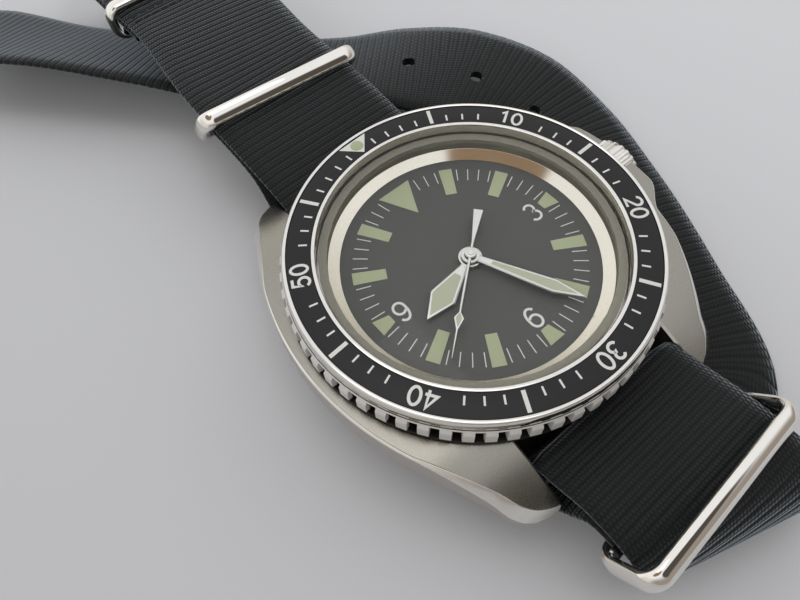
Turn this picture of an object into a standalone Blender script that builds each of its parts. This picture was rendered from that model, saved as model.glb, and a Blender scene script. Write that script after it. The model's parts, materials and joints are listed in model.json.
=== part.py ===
"""Automatic dive watch on a one-piece woven strap, at its real size.

Frame: the watch axis is Z, with the dial facing +Z, 3 o'clock at +X and 12 o'clock at +Y. The origin is
on the watch axis, on the underside of the strap flap that lies against the wrist.
Every length below is in millimetres and every angle in degrees. Meshes are made in metres.
"""
import math

import bmesh
import bpy
from mathutils import Vector
from mathutils.geometry import tessellate_polygon

MM = 0.001
MERGE = 2.0e-7

# Clearances
SEAT_GAP = 0.05
RUN_GAP = 0.1
LAYER_GAP = 0.1

# Strap
STRAP_WIDTH = 20.0
STRAP_THICKNESS = 1.2
HOLE_RADIUS = 1.0
HOLE_COUNT = 8
HOLE_PITCH = 9.9
LAST_HOLE_TO_TIP = 43.7
TIP_ROUND = 8.0
STITCH_END = 60.0
SWAY = 1.8
SWAY_START = 40.0
SWAY_END = 62.0

# Case
CASE_HALF_WIDTH = 21.1
LUG_TO_LUG = 47.5
LUG_TIP_WIDTH = 5.4
LUG_ROUND_LENGTH = 3.75
LUG_WAIST = 18.7
WAIST_Y = 12.0
LUG_SHOULDER = 15.1
CASE_HEIGHT = 7.4
LUG_DROP = 3.8
LUG_LIFT = 0.6
CASE_BEVEL = 0.25
LUG_BEVEL = 1.5
FOOT_RISE = 3.4
FOOT_INSET = 2.2
LUG_FOOT_RISE = 1.2
LUG_FOOT_INSET = 1.0
BAND_WALL = 1.25
GUARD_REACH = 2.0
GUARD_OUTER = 5.2
GUARD_FADE = 3.6
GUARD_SIDE = 0.9
LUG_PLAY = 0.05

# Screw back
BACK_LIP = 0.8
BACK_FLANGE = 0.75
BACK_SHELF = 1.2
BACK_THREAD_LENGTH = 1.55
BACK_WALL = 1.5
BACK_FLOOR = 1.1
BACK_CHAMFER = 0.3
NOTCH_COUNT = 6
NOTCH_WIDTH = 2.4
NOTCH_DEPTH = 0.6
BACK_SEAL = 0.4

# Fixed bars
BAR_RADIUS = 0.75
BAR_Y = 20.9
BAR_RISE = 4.6
BAR_SEAT = 1.3

# Bezel
NECK_WALL = 0.65
NECK_HEIGHT = 2.6
BEZEL_LIFT = 0.2
BEZEL_HEIGHT = 4.05
TOOTH_OVERHANG = 0.35
RIM_WIDTH = 0.6
RIM_FALL = 0.05
BEZEL_LIP = 0.39
INSERT_WIDTH = 2.61
INSERT_THICKNESS = 0.6
INSERT_FALL = 0.12
TOOTH_COUNT = 60
TOOTH_DEPTH = 0.65
TOOTH_SHARE = 0.52
TOOTH_HEIGHT = 2.2
BEZEL_FOOT = 0.35
RIM_GROOVE = 0.2
PIP_RADIUS = 0.55
WIRE_RADIUS = 0.2
CLICK_SPRING_WIDTH = 1.2
CLICK_SPRING_THICKNESS = 0.25
BEZEL_TURN = 2.34

# Crystal and rehaut
CRYSTAL_FLANGE = 1.5
CRYSTAL_PLUG = 0.55
CRYSTAL_CHAMFER = 0.25
CRYSTAL_DOME = 0.15
CRYSTAL_SEAL = 0.25
REHAUT_HEIGHT = 1.6
REHAUT_SLOPE = 1.1

# Dial and hands
DIAL_THICKNESS = 0.4
DIAL_BORE = 1.25
HAND_THICKNESS = 0.2
HAND_SPACE = 0.4
HOUR_LENGTH = 8.8
HOUR_WIDTH = 2.9
HOUR_WIDEST = 5.75
MINUTE_LENGTH = 12.5
MINUTE_WIDTH = 1.7
MINUTE_WIDEST = 9.2
SECONDS_LENGTH = 12.3
SECONDS_TAIL = 5.7
SECONDS_TAIL_WIDTH = 1.15
DIAMOND_AT = 7.9
DIAMOND_WIDTH = 1.1
HOUR_ANGLE = 252.6
MINUTE_ANGLE = 155.5
SECONDS_ANGLE = 231.7

# Crown
CROWN_RADIUS = 3.5
CROWN_LENGTH = 4.5
CROWN_INNER_X = 20.9
CROWN_FLUTES = 24
CROWN_FLUTE_DEPTH = 0.28
CROWN_CUP_RADIUS = 1.9
CROWN_CUP_DEPTH = 2.4
CROWN_RECESS = 0.35
TUBE_RADIUS = 1.4
TUBE_WALL = 0.7
TUBE_REACH = 1.0
STEM_RADIUS = 0.55
STEM_INNER_X = 3.7
CROWN_SEAL_LENGTH = 0.6

# Movement stack, from the dial down
MOVEMENT_RADIUS = 13.0
RING_WALL = 2.15
MOTION_SPACE = 1.0
PLATE_THICKNESS = 1.2
TRAIN_SPACE = 1.85
BRIDGE_THICKNESS = 0.35
WINDING_SPACE = 0.5
AUTO_THICKNESS = 0.3
ROTOR_HEIGHT = 1.2
ROTOR_RADIUS = 12.3
ROTOR_RIM = 2.6
ROTOR_SHEET = 0.3
PIVOT = 0.1
ARBOR = 0.15
SCREW_RADIUS = 0.3
SCREW_HEAD_RADIUS = 0.55
SCREW_HEAD = 0.3
POST_RADIUS = 0.9

# Wheels: teeth and modules
BARREL_TEETH = 60
BARREL_MODULE = 0.15
SECOND_PINION_TEETH = 10
SECOND_TEETH = 48
SECOND_MODULE = 0.13
THIRD_PINION_TEETH = 6
THIRD_TEETH = 45
THIRD_MODULE = 0.13
FOURTH_PINION_TEETH = 6
FOURTH_TEETH = 60
FOURTH_MODULE = 0.09
ESCAPE_PINION_TEETH = 6
ESCAPE_TEETH = 15
ESCAPE_RADIUS = 1.9
CANNON_TEETH = 12
MINUTE_WHEEL_TEETH = 36
CANNON_MODULE = 0.125
MINUTE_PINION_TEETH = 10
HOUR_TEETH = 40
RATCHET_TEETH = 40
CROWN_WHEEL_TEETH = 24
RATCHET_MODULE = 0.2
WINDING_TEETH = 16
WINDING_MODULE = 0.12
ROTOR_TEETH = 18
REVERSER_TEETH = 27
ROTOR_MODULE = 0.14
WHEEL_THICKNESS = 0.2

# Places of the arbors
BARREL_OFFSET = 7.49
BARREL_BEARING = 55.9
SECOND_OFFSET = 5.29
ESCAPE_BEARING = 235.0
LEVER_BEARING = 245.0
PALLET_DISTANCE = 2.7
FORK_LENGTH = 3.8
BALANCE_RADIUS = 3.3
REVERSER_BEARING = 200.0

# Keepers and buckle
KEEPER_THICKNESS = 1.2
KEEPER_BAR = 2.2
KEEPER_PLAY = 0.3
KEEPER_HEIGHT = 6.2
KEEPER_CORNER = 1.5
KEEPER_END_Y = -30.6
KEEPER_MIDDLE_Y = 36.6
KEEPER_BUCKLE_Y = 65.0
KEEPER_LEAN = 38.0
KEEPER_END_SKEW = 3.6
KEEPER_SKEW = -5.6
BUCKLE_Y = 80.0
BUCKLE_Z = 6.6
BUCKLE_BAR_RADIUS = 0.9
BUCKLE_ARM = 1.8
BUCKLE_HEIGHT = 2.0
BUCKLE_REACH = 9.6
BUCKLE_FRONT = 2.0
TONGUE_WIDTH = 2.2
TONGUE_THICKNESS = 0.7

# Strap fold past the end keeper
FOLD_START_Y = -30.3
FOLD_BEARING = -17.0

# Radii worked out from the movement outwards
CAVITY_RADIUS = MOVEMENT_RADIUS + SEAT_GAP + RING_WALL + RUN_GAP
BACK_THREAD_RADIUS = CAVITY_RADIUS + BACK_SHELF
BACK_RADIUS = BACK_THREAD_RADIUS + BACK_LIP
BAND_RADIUS = BACK_RADIUS + BAND_WALL
NECK_RADIUS = CAVITY_RADIUS + NECK_WALL
BEZEL_BORE = NECK_RADIUS + RUN_GAP
INSERT_INNER = BEZEL_BORE + BEZEL_LIP
INSERT_OUTER = INSERT_INNER + INSERT_WIDTH
RIM_RADIUS = INSERT_OUTER + RIM_WIDTH
BEZEL_RADIUS = RIM_RADIUS + TOOTH_OVERHANG
PLUG_RADIUS = CAVITY_RADIUS - CRYSTAL_SEAL - 2 * SEAT_GAP
DIAL_OPENING = PLUG_RADIUS - REHAUT_SLOPE

# Heights worked out from the stack
FLAP_MID = STRAP_THICKNESS / 2
STRAP_MID = 1.5 * STRAP_THICKNESS + LAYER_GAP
TABLE = -(STRAP_THICKNESS + LAYER_GAP)
TAIL_MID = TABLE + STRAP_THICKNESS / 2
BACK_BOTTOM = 2 * (STRAP_THICKNESS + LAYER_GAP)
CASE_BOTTOM = BACK_BOTTOM + BACK_FLANGE + SEAT_GAP
CASE_TOP = CASE_BOTTOM + CASE_HEIGHT
BAR_Z = BACK_BOTTOM + BAR_RISE
BAR_WRAP = BAR_RADIUS + LAYER_GAP + STRAP_THICKNESS / 2
BEZEL_BOTTOM = CASE_TOP + BEZEL_LIFT
BEZEL_TOP = BEZEL_BOTTOM + BEZEL_HEIGHT
INSERT_TOP = BEZEL_TOP - SEAT_GAP
INSERT_SEAT = INSERT_TOP - INSERT_THICKNESS - SEAT_GAP
NECK_TOP = CASE_TOP + NECK_HEIGHT
CRYSTAL_BOTTOM = NECK_TOP + CRYSTAL_SEAL + 2 * SEAT_GAP
CRYSTAL_TOP = CRYSTAL_BOTTOM + CRYSTAL_FLANGE
PLUG_BOTTOM = CRYSTAL_BOTTOM - CRYSTAL_PLUG
REHAUT_TOP = PLUG_BOTTOM - RUN_GAP
REHAUT_BOTTOM = REHAUT_TOP - REHAUT_HEIGHT
DIAL_TOP = REHAUT_BOTTOM - SEAT_GAP
DIAL_BOTTOM = DIAL_TOP - DIAL_THICKNESS
HOUR_HAND_Z = DIAL_TOP + HAND_SPACE
MINUTE_HAND_Z = HOUR_HAND_Z + HAND_SPACE
SECONDS_HAND_Z = MINUTE_HAND_Z + HAND_SPACE
PLATE_TOP = DIAL_BOTTOM - MOTION_SPACE
PLATE_BOTTOM = PLATE_TOP - PLATE_THICKNESS
BRIDGE_TOP = PLATE_BOTTOM - TRAIN_SPACE
BRIDGE_BOTTOM = BRIDGE_TOP - BRIDGE_THICKNESS
AUTO_TOP = BRIDGE_BOTTOM - WINDING_SPACE
AUTO_BOTTOM = AUTO_TOP - AUTO_THICKNESS
ROTOR_TOP = AUTO_BOTTOM - RUN_GAP
ROTOR_BOTTOM = ROTOR_TOP - ROTOR_HEIGHT
THREAD_TOP = CASE_BOTTOM + BACK_THREAD_LENGTH + BACK_SEAL + 2 * SEAT_GAP
THREAD_BORE = BACK_THREAD_RADIUS + SEAT_GAP
RATCHET_BOTTOM = AUTO_TOP + SEAT_GAP
RATCHET_TOP = BRIDGE_BOTTOM - RUN_GAP
WINDING_TIP = WINDING_MODULE * (WINDING_TEETH / 2 + 0.8)
CROWN_Z = RATCHET_TOP + SEAT_GAP + WINDING_TIP
CROWN_OUTER_X = CROWN_INNER_X + CROWN_LENGTH


# Plane geometry

def polar(radius, bearing, centre=(0.0, 0.0)):
    """Point at a radius and a bearing from a centre."""
    angle = math.radians(bearing)
    return centre[0] + radius * math.cos(angle), centre[1] + radius * math.sin(angle)


def arc(radius, start, end, count, centre=(0.0, 0.0)):
    """Points along an arc, both ends included."""
    return [polar(radius, start + (end - start) * i / (count - 1), centre) for i in range(count)]


def circle(radius, count, centre=(0.0, 0.0)):
    """Points round a full circle."""
    return [polar(radius, 360.0 * i / count, centre) for i in range(count)]


def ring_sector(inner, outer, start, end, count):
    """Outline of a ring's sector."""
    return arc(outer, start, end, count) + arc(inner, end, start, count)


def bearing(a, b):
    """Bearing from one point to another."""
    return math.degrees(math.atan2(b[1] - a[1], b[0] - a[0]))


def meet(a, reach_a, b, reach_b, side):
    """Point at two given distances from two points, on the chosen side of the line between them."""
    dx, dy = b[0] - a[0], b[1] - a[1]
    gap = math.hypot(dx, dy)
    along = (reach_a ** 2 - reach_b ** 2 + gap ** 2) / (2 * gap)
    off = side * math.sqrt(max(reach_a ** 2 - along ** 2, 0.0))
    return a[0] + (along * dx - off * dy) / gap, a[1] + (along * dy + off * dx) / gap


def hull(circles, count=14):
    """Convex outline round several circles, each given as centre and radius."""
    points = sorted(p for centre, radius in circles for p in circle(radius, count, centre))

    def half(run):
        chain = []
        for p in run:
            while len(chain) > 1 and ((chain[-1][0] - chain[-2][0]) * (p[1] - chain[-2][1])
                                      <= (chain[-1][1] - chain[-2][1]) * (p[0] - chain[-2][0])):
                chain.pop()
            chain.append(p)
        return chain[:-1]

    return half(points) + half(points[::-1])


def gear(teeth, module, turn=0.0):
    """Outline of a toothed wheel with one tooth centred on the bearing given by turn."""
    pitch_radius = module * teeth / 2
    tip, root = pitch_radius + 0.8 * module, pitch_radius - 1.1 * module
    pitch = 360.0 / teeth
    points = []
    half = 0.34 if teeth < 30 else 0.5
    for i in range(teeth):
        middle = turn + i * pitch
        points += [polar(root, middle - half * pitch), polar(tip, middle)]
        if teeth < 30:
            points.append(polar(root, middle + half * pitch))
    return points


def notched(outer, inner, count, share, per_tooth=2):
    """Outline of a coin edge: blocks at the outer radius with gaps down to the inner radius."""
    pitch = 360.0 / count
    points = []
    for i in range(count):
        start = i * pitch
        points += arc(outer, start, start + share * pitch, per_tooth)
        points += arc(inner, start + share * pitch, start + pitch, per_tooth)
    return points


def spiral(inner, outer, turns, width, steps):
    """Outline of a flat coiled strip."""
    total = turns * steps
    middle = [(inner + (outer - inner) * i / total, 360.0 * i / steps) for i in range(total + 1)]
    far = [polar(r + width / 2, a) for r, a in middle]
    near = [polar(r - width / 2, a) for r, a in middle]
    return far + near[::-1]


# Solids

def inside(point, loop):
    """True where a point lies inside a loop."""
    hit = False
    for (ax, ay), (bx, by) in zip(loop, loop[1:] + loop[:1]):
        if (ay > point[1]) != (by > point[1]):
            if point[0] < (bx - ax) * (point[1] - ay) / (by - ay) + ax:
                hit = not hit
    return hit


def fill(bm, loops, height):
    """Flat faces between nested loops at one height."""
    depth = [sum(inside(loop[0], other) for other in loops if other is not loop) for loop in loops]
    for outer, level in zip(loops, depth):
        if level % 2:
            continue
        holes = [loop for loop, d in zip(loops, depth) if d == level + 1 and inside(loop[0], outer)]
        group = [[Vector((x, y, 0.0)) for x, y in loop] for loop in [outer] + holes]
        verts = [bm.verts.new((p.x, p.y, height)) for loop in group for p in loop]
        for a, b, c in tessellate_polygon(group):
            bm.faces.new((verts[a], verts[b], verts[c]))


def stack(levels):
    """Solid made of flat levels (bottom, top, loops) or tapered ones (bottom, top, loops, upper loops)."""
    bm = bmesh.new()
    below = []
    for level in levels:
        bottom, top, loops = level[:3]
        upper = level[3] if len(level) > 3 else loops
        change = [p for p in below if p not in loops] + [p for p in loops if p not in below]
        fill(bm, change, bottom)
        for low, high in zip(loops, upper):
            a = [bm.verts.new((x, y, bottom)) for x, y in low]
            b = [bm.verts.new((x, y, top)) for x, y in high]
            for i in range(len(a)):
                j = (i + 1) % len(a)
                bm.faces.new((a[i], a[j], b[j], b[i]))
        below = upper
    fill(bm, below, levels[-1][1])
    return bm


def turned(profile, count):
    """Solid of revolution of a closed outline of (radius, height) points that keeps off the axis."""
    bm = bmesh.new()
    verts = [bm.verts.new((r, 0.0, z)) for r, z in profile]
    edges = [bm.edges.new((a, b)) for a, b in zip(verts, verts[1:] + verts[:1])]
    bmesh.ops.spin(bm, geom=verts + edges, cent=(0, 0, 0), axis=(0, 0, 1), angle=2 * math.pi, steps=count)
    return bm


def loft(sections):
    """Solid through closed sections that all have the same number of points."""
    bm = bmesh.new()
    rings = [[bm.verts.new(p) for p in section] for section in sections]
    for low, high in zip(rings, rings[1:]):
        for i in range(len(low)):
            j = (i + 1) % len(low)
            bm.faces.new((low[i], low[j], high[j], high[i]))
    bm.faces.new(rings[0])
    bm.faces.new(rings[-1])
    return bm


# Finishes

FINISHES = {
    "brushed_steel": ((0.56, 0.54, 0.50), 0.32, 1.0),
    "polished_steel": ((0.74, 0.73, 0.71), 0.12, 1.0),
    "black_insert": ((0.012, 0.012, 0.013), 0.35, 0.0),
    "crystal_glass": ((0.92, 0.95, 0.94), 0.02, 0.0),
    "seal_rubber": ((0.03, 0.03, 0.03), 0.6, 0.0),
    "crystal_seal": ((0.30, 0.30, 0.26), 0.45, 0.0),
    "dial_black": ((0.035, 0.036, 0.037), 0.6, 0.0),
    "hand_steel": ((0.78, 0.78, 0.77), 0.2, 1.0),
    "lume": ((0.62, 0.70, 0.48), 0.7, 0.0),
    "gilt_brass": ((0.72, 0.53, 0.26), 0.28, 1.0),
    "movement_nickel": ((0.66, 0.66, 0.66), 0.3, 1.0),
    "blued_spring": ((0.10, 0.14, 0.30), 0.25, 1.0),
    "woven_nylon": ((0.030, 0.034, 0.037), 0.85, 0.0),
}


def finish(name):
    """Material for a finish, made once."""
    known = bpy.data.materials.get(name)
    if known:
        return known
    colour, roughness, metallic = FINISHES[name]
    material = bpy.data.materials.new(name)
    material.use_nodes = True
    shader = material.node_tree.nodes["Principled BSDF"]
    shader.inputs["Base Color"].default_value = (*colour, 1.0)
    shader.inputs["Roughness"].default_value = roughness
    shader.inputs["Metallic"].default_value = metallic
    return material


def add(name, bm, look, at=(0.0, 0.0, 0.0), rotation=(0.0, 0.0, 0.0)):
    """Object from a mesh in millimetres, placed by its location and its rotation in degrees."""
    bmesh.ops.scale(bm, vec=(MM, MM, MM), verts=bm.verts)
    bmesh.ops.remove_doubles(bm, verts=bm.verts, dist=MERGE)
    bmesh.ops.recalc_face_normals(bm, faces=bm.faces)
    mesh = bpy.data.meshes.new(name)
    bm.to_mesh(mesh)
    bm.free()
    mesh.materials.append(finish(look))
    mesh.shade_smooth()
    mesh.set_sharp_from_angle(angle=math.radians(30))
    item = bpy.data.objects.new(name, mesh)
    item.location = [c * MM for c in at]
    item.rotation_euler = [math.radians(a) for a in rotation]
    bpy.context.scene.collection.objects.link(item)
    return item


def cutter(name, bm, at=(0.0, 0.0, 0.0), rotation=(0.0, 0.0, 0.0)):
    """Guide solid for a Boolean, left out of renders."""
    item = add(name, bm, "brushed_steel", at, rotation)
    item.hide_render = True
    item.display_type = "WIRE"
    return item


def boolean(target, tool, operation="DIFFERENCE"):
    """Boolean of a target with a guide solid."""
    step = target.modifiers.new(tool.name, "BOOLEAN")
    step.operation = operation
    step.object = tool
    step.solver = "EXACT"


ALONG_X = (0.0, 90.0, 0.0)
SIDES = 40
SMALL = 16
TINY = 8


# Case

def flank(y):
    """Half width of the case at a distance along the 12 to 6 o'clock line."""
    reach = abs(y)
    shoulder_y = LUG_TO_LUG / 2 - LUG_ROUND_LENGTH
    if reach <= WAIST_Y:
        return CASE_HALF_WIDTH - (CASE_HALF_WIDTH - LUG_WAIST) * (reach / WAIST_Y) ** 2
    if reach <= shoulder_y:
        return LUG_WAIST - (LUG_WAIST - LUG_SHOULDER) * (reach - WAIST_Y) / (shoulder_y - WAIST_Y)
    turn = (reach - shoulder_y) / LUG_ROUND_LENGTH
    return LUG_SHOULDER - LUG_TIP_WIDTH * 0.9 * (1 - math.sqrt(max(1 - turn ** 2, 0.0)))


def guard(y):
    """Extra width of the crown guards on the 3 o'clock flank."""
    reach = abs(y)
    side = GUARD_SIDE * max(1 - (reach / (LUG_TO_LUG / 2 - LUG_ROUND_LENGTH)) ** 4, 0.0)
    fade = min(max(reach - GUARD_OUTER, 0.0) / GUARD_FADE, 1.0)
    return side + GUARD_REACH * (0.5 + 0.5 * math.cos(math.pi * fade))


def lug_share(y):
    """0 at the waist, 1 at the lug tip."""
    return max(abs(y) - WAIST_Y, 0.0) / (LUG_TO_LUG / 2 - WAIST_Y)


def case_section(y):
    """Section of the case across the lugs at one place."""
    share = lug_share(y)
    top = CASE_TOP - LUG_DROP * share ** 1.8
    bottom = CASE_BOTTOM + LUG_LIFT * max(abs(y) - BACK_RADIUS, 0.0) / (LUG_TO_LUG / 2 - BACK_RADIUS)
    bevel = CASE_BEVEL + (LUG_BEVEL - CASE_BEVEL) * share
    rise = FOOT_RISE + (LUG_FOOT_RISE - FOOT_RISE) * share
    inset = FOOT_INSET + (LUG_FOOT_INSET - FOOT_INSET) * share
    left, right = -flank(y), flank(y) + guard(y)
    return [(left + inset, y, bottom), (right - inset, y, bottom), (right, y, bottom + rise),
            (right, y, top - bevel), (right - bevel, y, top), (left + bevel, y, top),
            (left, y, top - bevel), (left, y, bottom + rise)]


def case_stations():
    """Places along the lugs where a section is set, closer at the guards and the tips."""
    tip = LUG_TO_LUG / 2
    shoulder = tip - LUG_ROUND_LENGTH
    inner = [GUARD_OUTER * i / 2 for i in range(3)]
    fade = [GUARD_OUTER + GUARD_FADE * i / 4 for i in range(1, 5)]
    lug = [WAIST_Y + (shoulder - WAIST_Y) * i / 5 for i in range(6)]
    nose = [shoulder + LUG_ROUND_LENGTH * math.sin(math.pi / 2 * i / 6) for i in range(1, 7)]
    half = inner + fade + lug + nose
    return [-y for y in half[:0:-1]] + half


def build_case():
    """Middle case with lugs, neck, movement bore and crown bore."""
    body = loft([case_section(y) for y in case_stations()])
    bmesh.ops.dissolve_limit(body, angle_limit=math.radians(0.2), verts=body.verts, edges=body.edges)
    case = add("mid_case", body, "brushed_steel")
    groove = WIRE_RADIUS + SEAT_GAP
    wire_z = wire_height()
    neck = turned([(CAVITY_RADIUS - 1.0, CASE_TOP - 2.0), (NECK_RADIUS, CASE_TOP - 2.0),
                   (NECK_RADIUS, wire_z - groove), (NECK_RADIUS - groove, wire_z - groove),
                   (NECK_RADIUS - groove, wire_z + groove), (NECK_RADIUS, wire_z + groove),
                   (NECK_RADIUS, NECK_TOP), (CAVITY_RADIUS - 1.0, NECK_TOP)], SIDES)
    boolean(case, cutter("neck_guide", neck), "UNION")
    low = CASE_BOTTOM - 1.0
    high = NECK_TOP + 1.0
    bore = stack([(low, THREAD_TOP, [circle(THREAD_BORE, SIDES)]),
                  (THREAD_TOP, high, [circle(CAVITY_RADIUS, SIDES)])])
    boolean(case, cutter("bore_guide", bore))
    half_gap = STRAP_WIDTH / 2 + LUG_PLAY
    outer = LUG_TO_LUG / 2 + 1.0
    reach = math.degrees(math.asin(half_gap / BAND_RADIUS))
    for name, side in (("gap_12_guide", 90.0), ("gap_6_guide", 270.0)):
        sign = 1.0 if side < 180.0 else -1.0
        loop = arc(BAND_RADIUS, side - reach, side + reach, 15)
        loop += [(-sign * half_gap, sign * outer), (sign * half_gap, sign * outer)]
        boolean(case, cutter(name, stack([(low, high, [loop])])))
        seat = stack([(-half_gap - BAR_SEAT, half_gap + BAR_SEAT, [circle(BAR_RADIUS + SEAT_GAP, SMALL)])])
        boolean(case, cutter(name + "_bar", seat, (0.0, sign * BAR_Y, BAR_Z), ALONG_X))
    recess_start = CROWN_INNER_X - RUN_GAP
    crown_bore = stack([(CAVITY_RADIUS - 2.0, recess_start, [circle(TUBE_RADIUS + SEAT_GAP, SMALL)]),
                        (recess_start, CROWN_OUTER_X + 2.0, [circle(CROWN_RADIUS + CROWN_RECESS, 36)])])
    boolean(case, cutter("crown_bore_guide", crown_bore, (0.0, 0.0, CROWN_Z), ALONG_X))
    inner, outer = click_spring_radii()
    depth = CLICK_SPRING_THICKNESS + SEAT_GAP
    groove_cut = stack([(CASE_TOP - depth, CASE_TOP + SEAT_GAP,
                         [circle(outer + RUN_GAP, SIDES), circle(inner - RUN_GAP, SIDES)])])
    boolean(case, cutter("spring_groove_guide", groove_cut))


def wire_height():
    """Height of the wire that holds the bezel on the neck."""
    return BEZEL_BOTTOM + (NECK_TOP - BEZEL_BOTTOM) / 2


def click_spring_radii():
    """Inner and outer radius of the click spring under the bezel."""
    outer = BAND_RADIUS - 3 * RUN_GAP
    return outer - CLICK_SPRING_WIDTH, outer


def build_back():
    """Screw back with key notches, and its seal."""
    pitch = 360.0 / NOTCH_COUNT
    half = math.degrees(NOTCH_WIDTH / 2 / BACK_RADIUS)
    rim = []
    low_rim = []
    for i in range(NOTCH_COUNT):
        start = i * pitch
        for loop, radius in ((rim, BACK_RADIUS), (low_rim, BACK_RADIUS - BACK_CHAMFER)):
            loop += [polar(radius - NOTCH_DEPTH, start - half), polar(radius - NOTCH_DEPTH, start + half)]
            loop += arc(radius, start + half, start + pitch - half, 10)
    thread = circle(BACK_THREAD_RADIUS, SIDES)
    floor = BACK_BOTTOM + BACK_FLOOR
    flange_top = BACK_BOTTOM + BACK_FLANGE
    chamfer_top = BACK_BOTTOM + BACK_CHAMFER
    wall = circle(BACK_THREAD_RADIUS - BACK_WALL, SIDES)
    top = CASE_BOTTOM + BACK_THREAD_LENGTH
    add("case_back", stack([(BACK_BOTTOM, chamfer_top, [low_rim], [rim]), (chamfer_top, flange_top, [rim]),
                            (flange_top, floor, [thread]), (floor, top, [thread, wall])]), "brushed_steel")
    seal = [circle(BACK_THREAD_RADIUS - SEAT_GAP, SIDES), circle(CAVITY_RADIUS + SEAT_GAP, SIDES)]
    add("case_back_gasket", stack([(top + SEAT_GAP, top + SEAT_GAP + BACK_SEAL, seal)]), "seal_rubber")


def build_bars():
    """Two fixed bars between the lugs."""
    half = STRAP_WIDTH / 2 + LUG_PLAY + BAR_SEAT - SEAT_GAP
    for name, y in (("lug_bar_12", BAR_Y), ("lug_bar_6", -BAR_Y)):
        bar = stack([(-half, half, [circle(BAR_RADIUS, 16)])])
        add(name, bar, "polished_steel", (0.0, y, BAR_Z), ALONG_X)


# Bezel

def build_bezel():
    """Turning bezel with a coin edge, its insert, pip, click spring and holding wire."""
    bore = circle(BEZEL_BORE, SIDES)
    groove = circle(BEZEL_BORE + WIRE_RADIUS, SIDES)
    well_inner = circle(INSERT_INNER, SIDES)
    well_outer = circle(INSERT_OUTER, SIDES)
    teeth = notched(BEZEL_RADIUS, BEZEL_RADIUS - TOOTH_DEPTH, TOOTH_COUNT, TOOTH_SHARE)
    foot = circle(BEZEL_RADIUS - TOOTH_DEPTH - RUN_GAP, SIDES)
    waist = circle(BEZEL_RADIUS - TOOTH_DEPTH - 1.5 * RUN_GAP, SIDES)
    shoulder = circle(BEZEL_RADIUS - 0.15, SIDES)
    rim = circle(RIM_RADIUS, SIDES)
    half = WIRE_RADIUS + SEAT_GAP
    wire_z = wire_height()
    tooth_bottom = BEZEL_BOTTOM + BEZEL_FOOT
    tooth_top = tooth_bottom + TOOTH_HEIGHT
    line_top = tooth_top + RIM_GROOVE
    rim_top = BEZEL_TOP - RIM_FALL
    levels = [(BEZEL_BOTTOM, tooth_bottom, [foot, bore]), (tooth_bottom, wire_z - half, [teeth, bore]),
              (wire_z - half, tooth_top, [teeth, groove]), (tooth_top, line_top, [waist, bore]),
              (line_top, INSERT_SEAT, [shoulder, bore]),
              (INSERT_SEAT, rim_top, [shoulder, well_outer, well_inner, bore],
               [rim, well_outer, well_inner, bore])]
    bezel = stack(levels)
    add("bezel", bezel, "brushed_steel", rotation=(0.0, 0.0, BEZEL_TURN))
    inner, outer = INSERT_INNER + SEAT_GAP, INSERT_OUTER - SEAT_GAP
    bottom = INSERT_SEAT + SEAT_GAP
    pip_at = (INSERT_INNER + INSERT_OUTER) / 2 + 0.2
    rise = rim_top
    edge = rise - INSERT_FALL
    profile = [(inner, rise), (outer, edge), (outer, bottom), (inner, bottom)]
    insert = add("bezel_insert", turned(profile, SIDES),
                 "black_insert", rotation=(0.0, 0.0, BEZEL_TURN))
    spot = polar(pip_at, 90.0 + BEZEL_TURN)
    seat = stack([(bottom + INSERT_THICKNESS / 3, BEZEL_TOP, [circle(PIP_RADIUS + SEAT_GAP, SMALL)])])
    boolean(insert, cutter("pip_guide", seat, (*spot, 0.0)))
    pip_bottom = bottom + INSERT_THICKNESS / 3 + SEAT_GAP
    pip = stack([(pip_bottom, edge, [circle(PIP_RADIUS, SMALL)]),
                 (edge, BEZEL_TOP, [circle(PIP_RADIUS, SMALL)], [circle(PIP_RADIUS * 0.6, SMALL)])])
    add("bezel_pip", pip, "lume", (*spot, 0.0))
    low, high = click_spring_radii()
    spring_z = CASE_TOP - CLICK_SPRING_THICKNESS
    spring = [circle(high, SIDES), circle(low, SIDES)]
    add("bezel_click_spring", stack([(spring_z, CASE_TOP, spring)]), "movement_nickel")
    middle = NECK_RADIUS + RUN_GAP / 2
    wire = turned([(x + middle, z + wire_z) for x, z in circle(WIRE_RADIUS * 0.9, 6)], SIDES)
    add("bezel_holding_wire", wire, "movement_nickel")


# Crystal, rehaut, dial and hands

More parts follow.
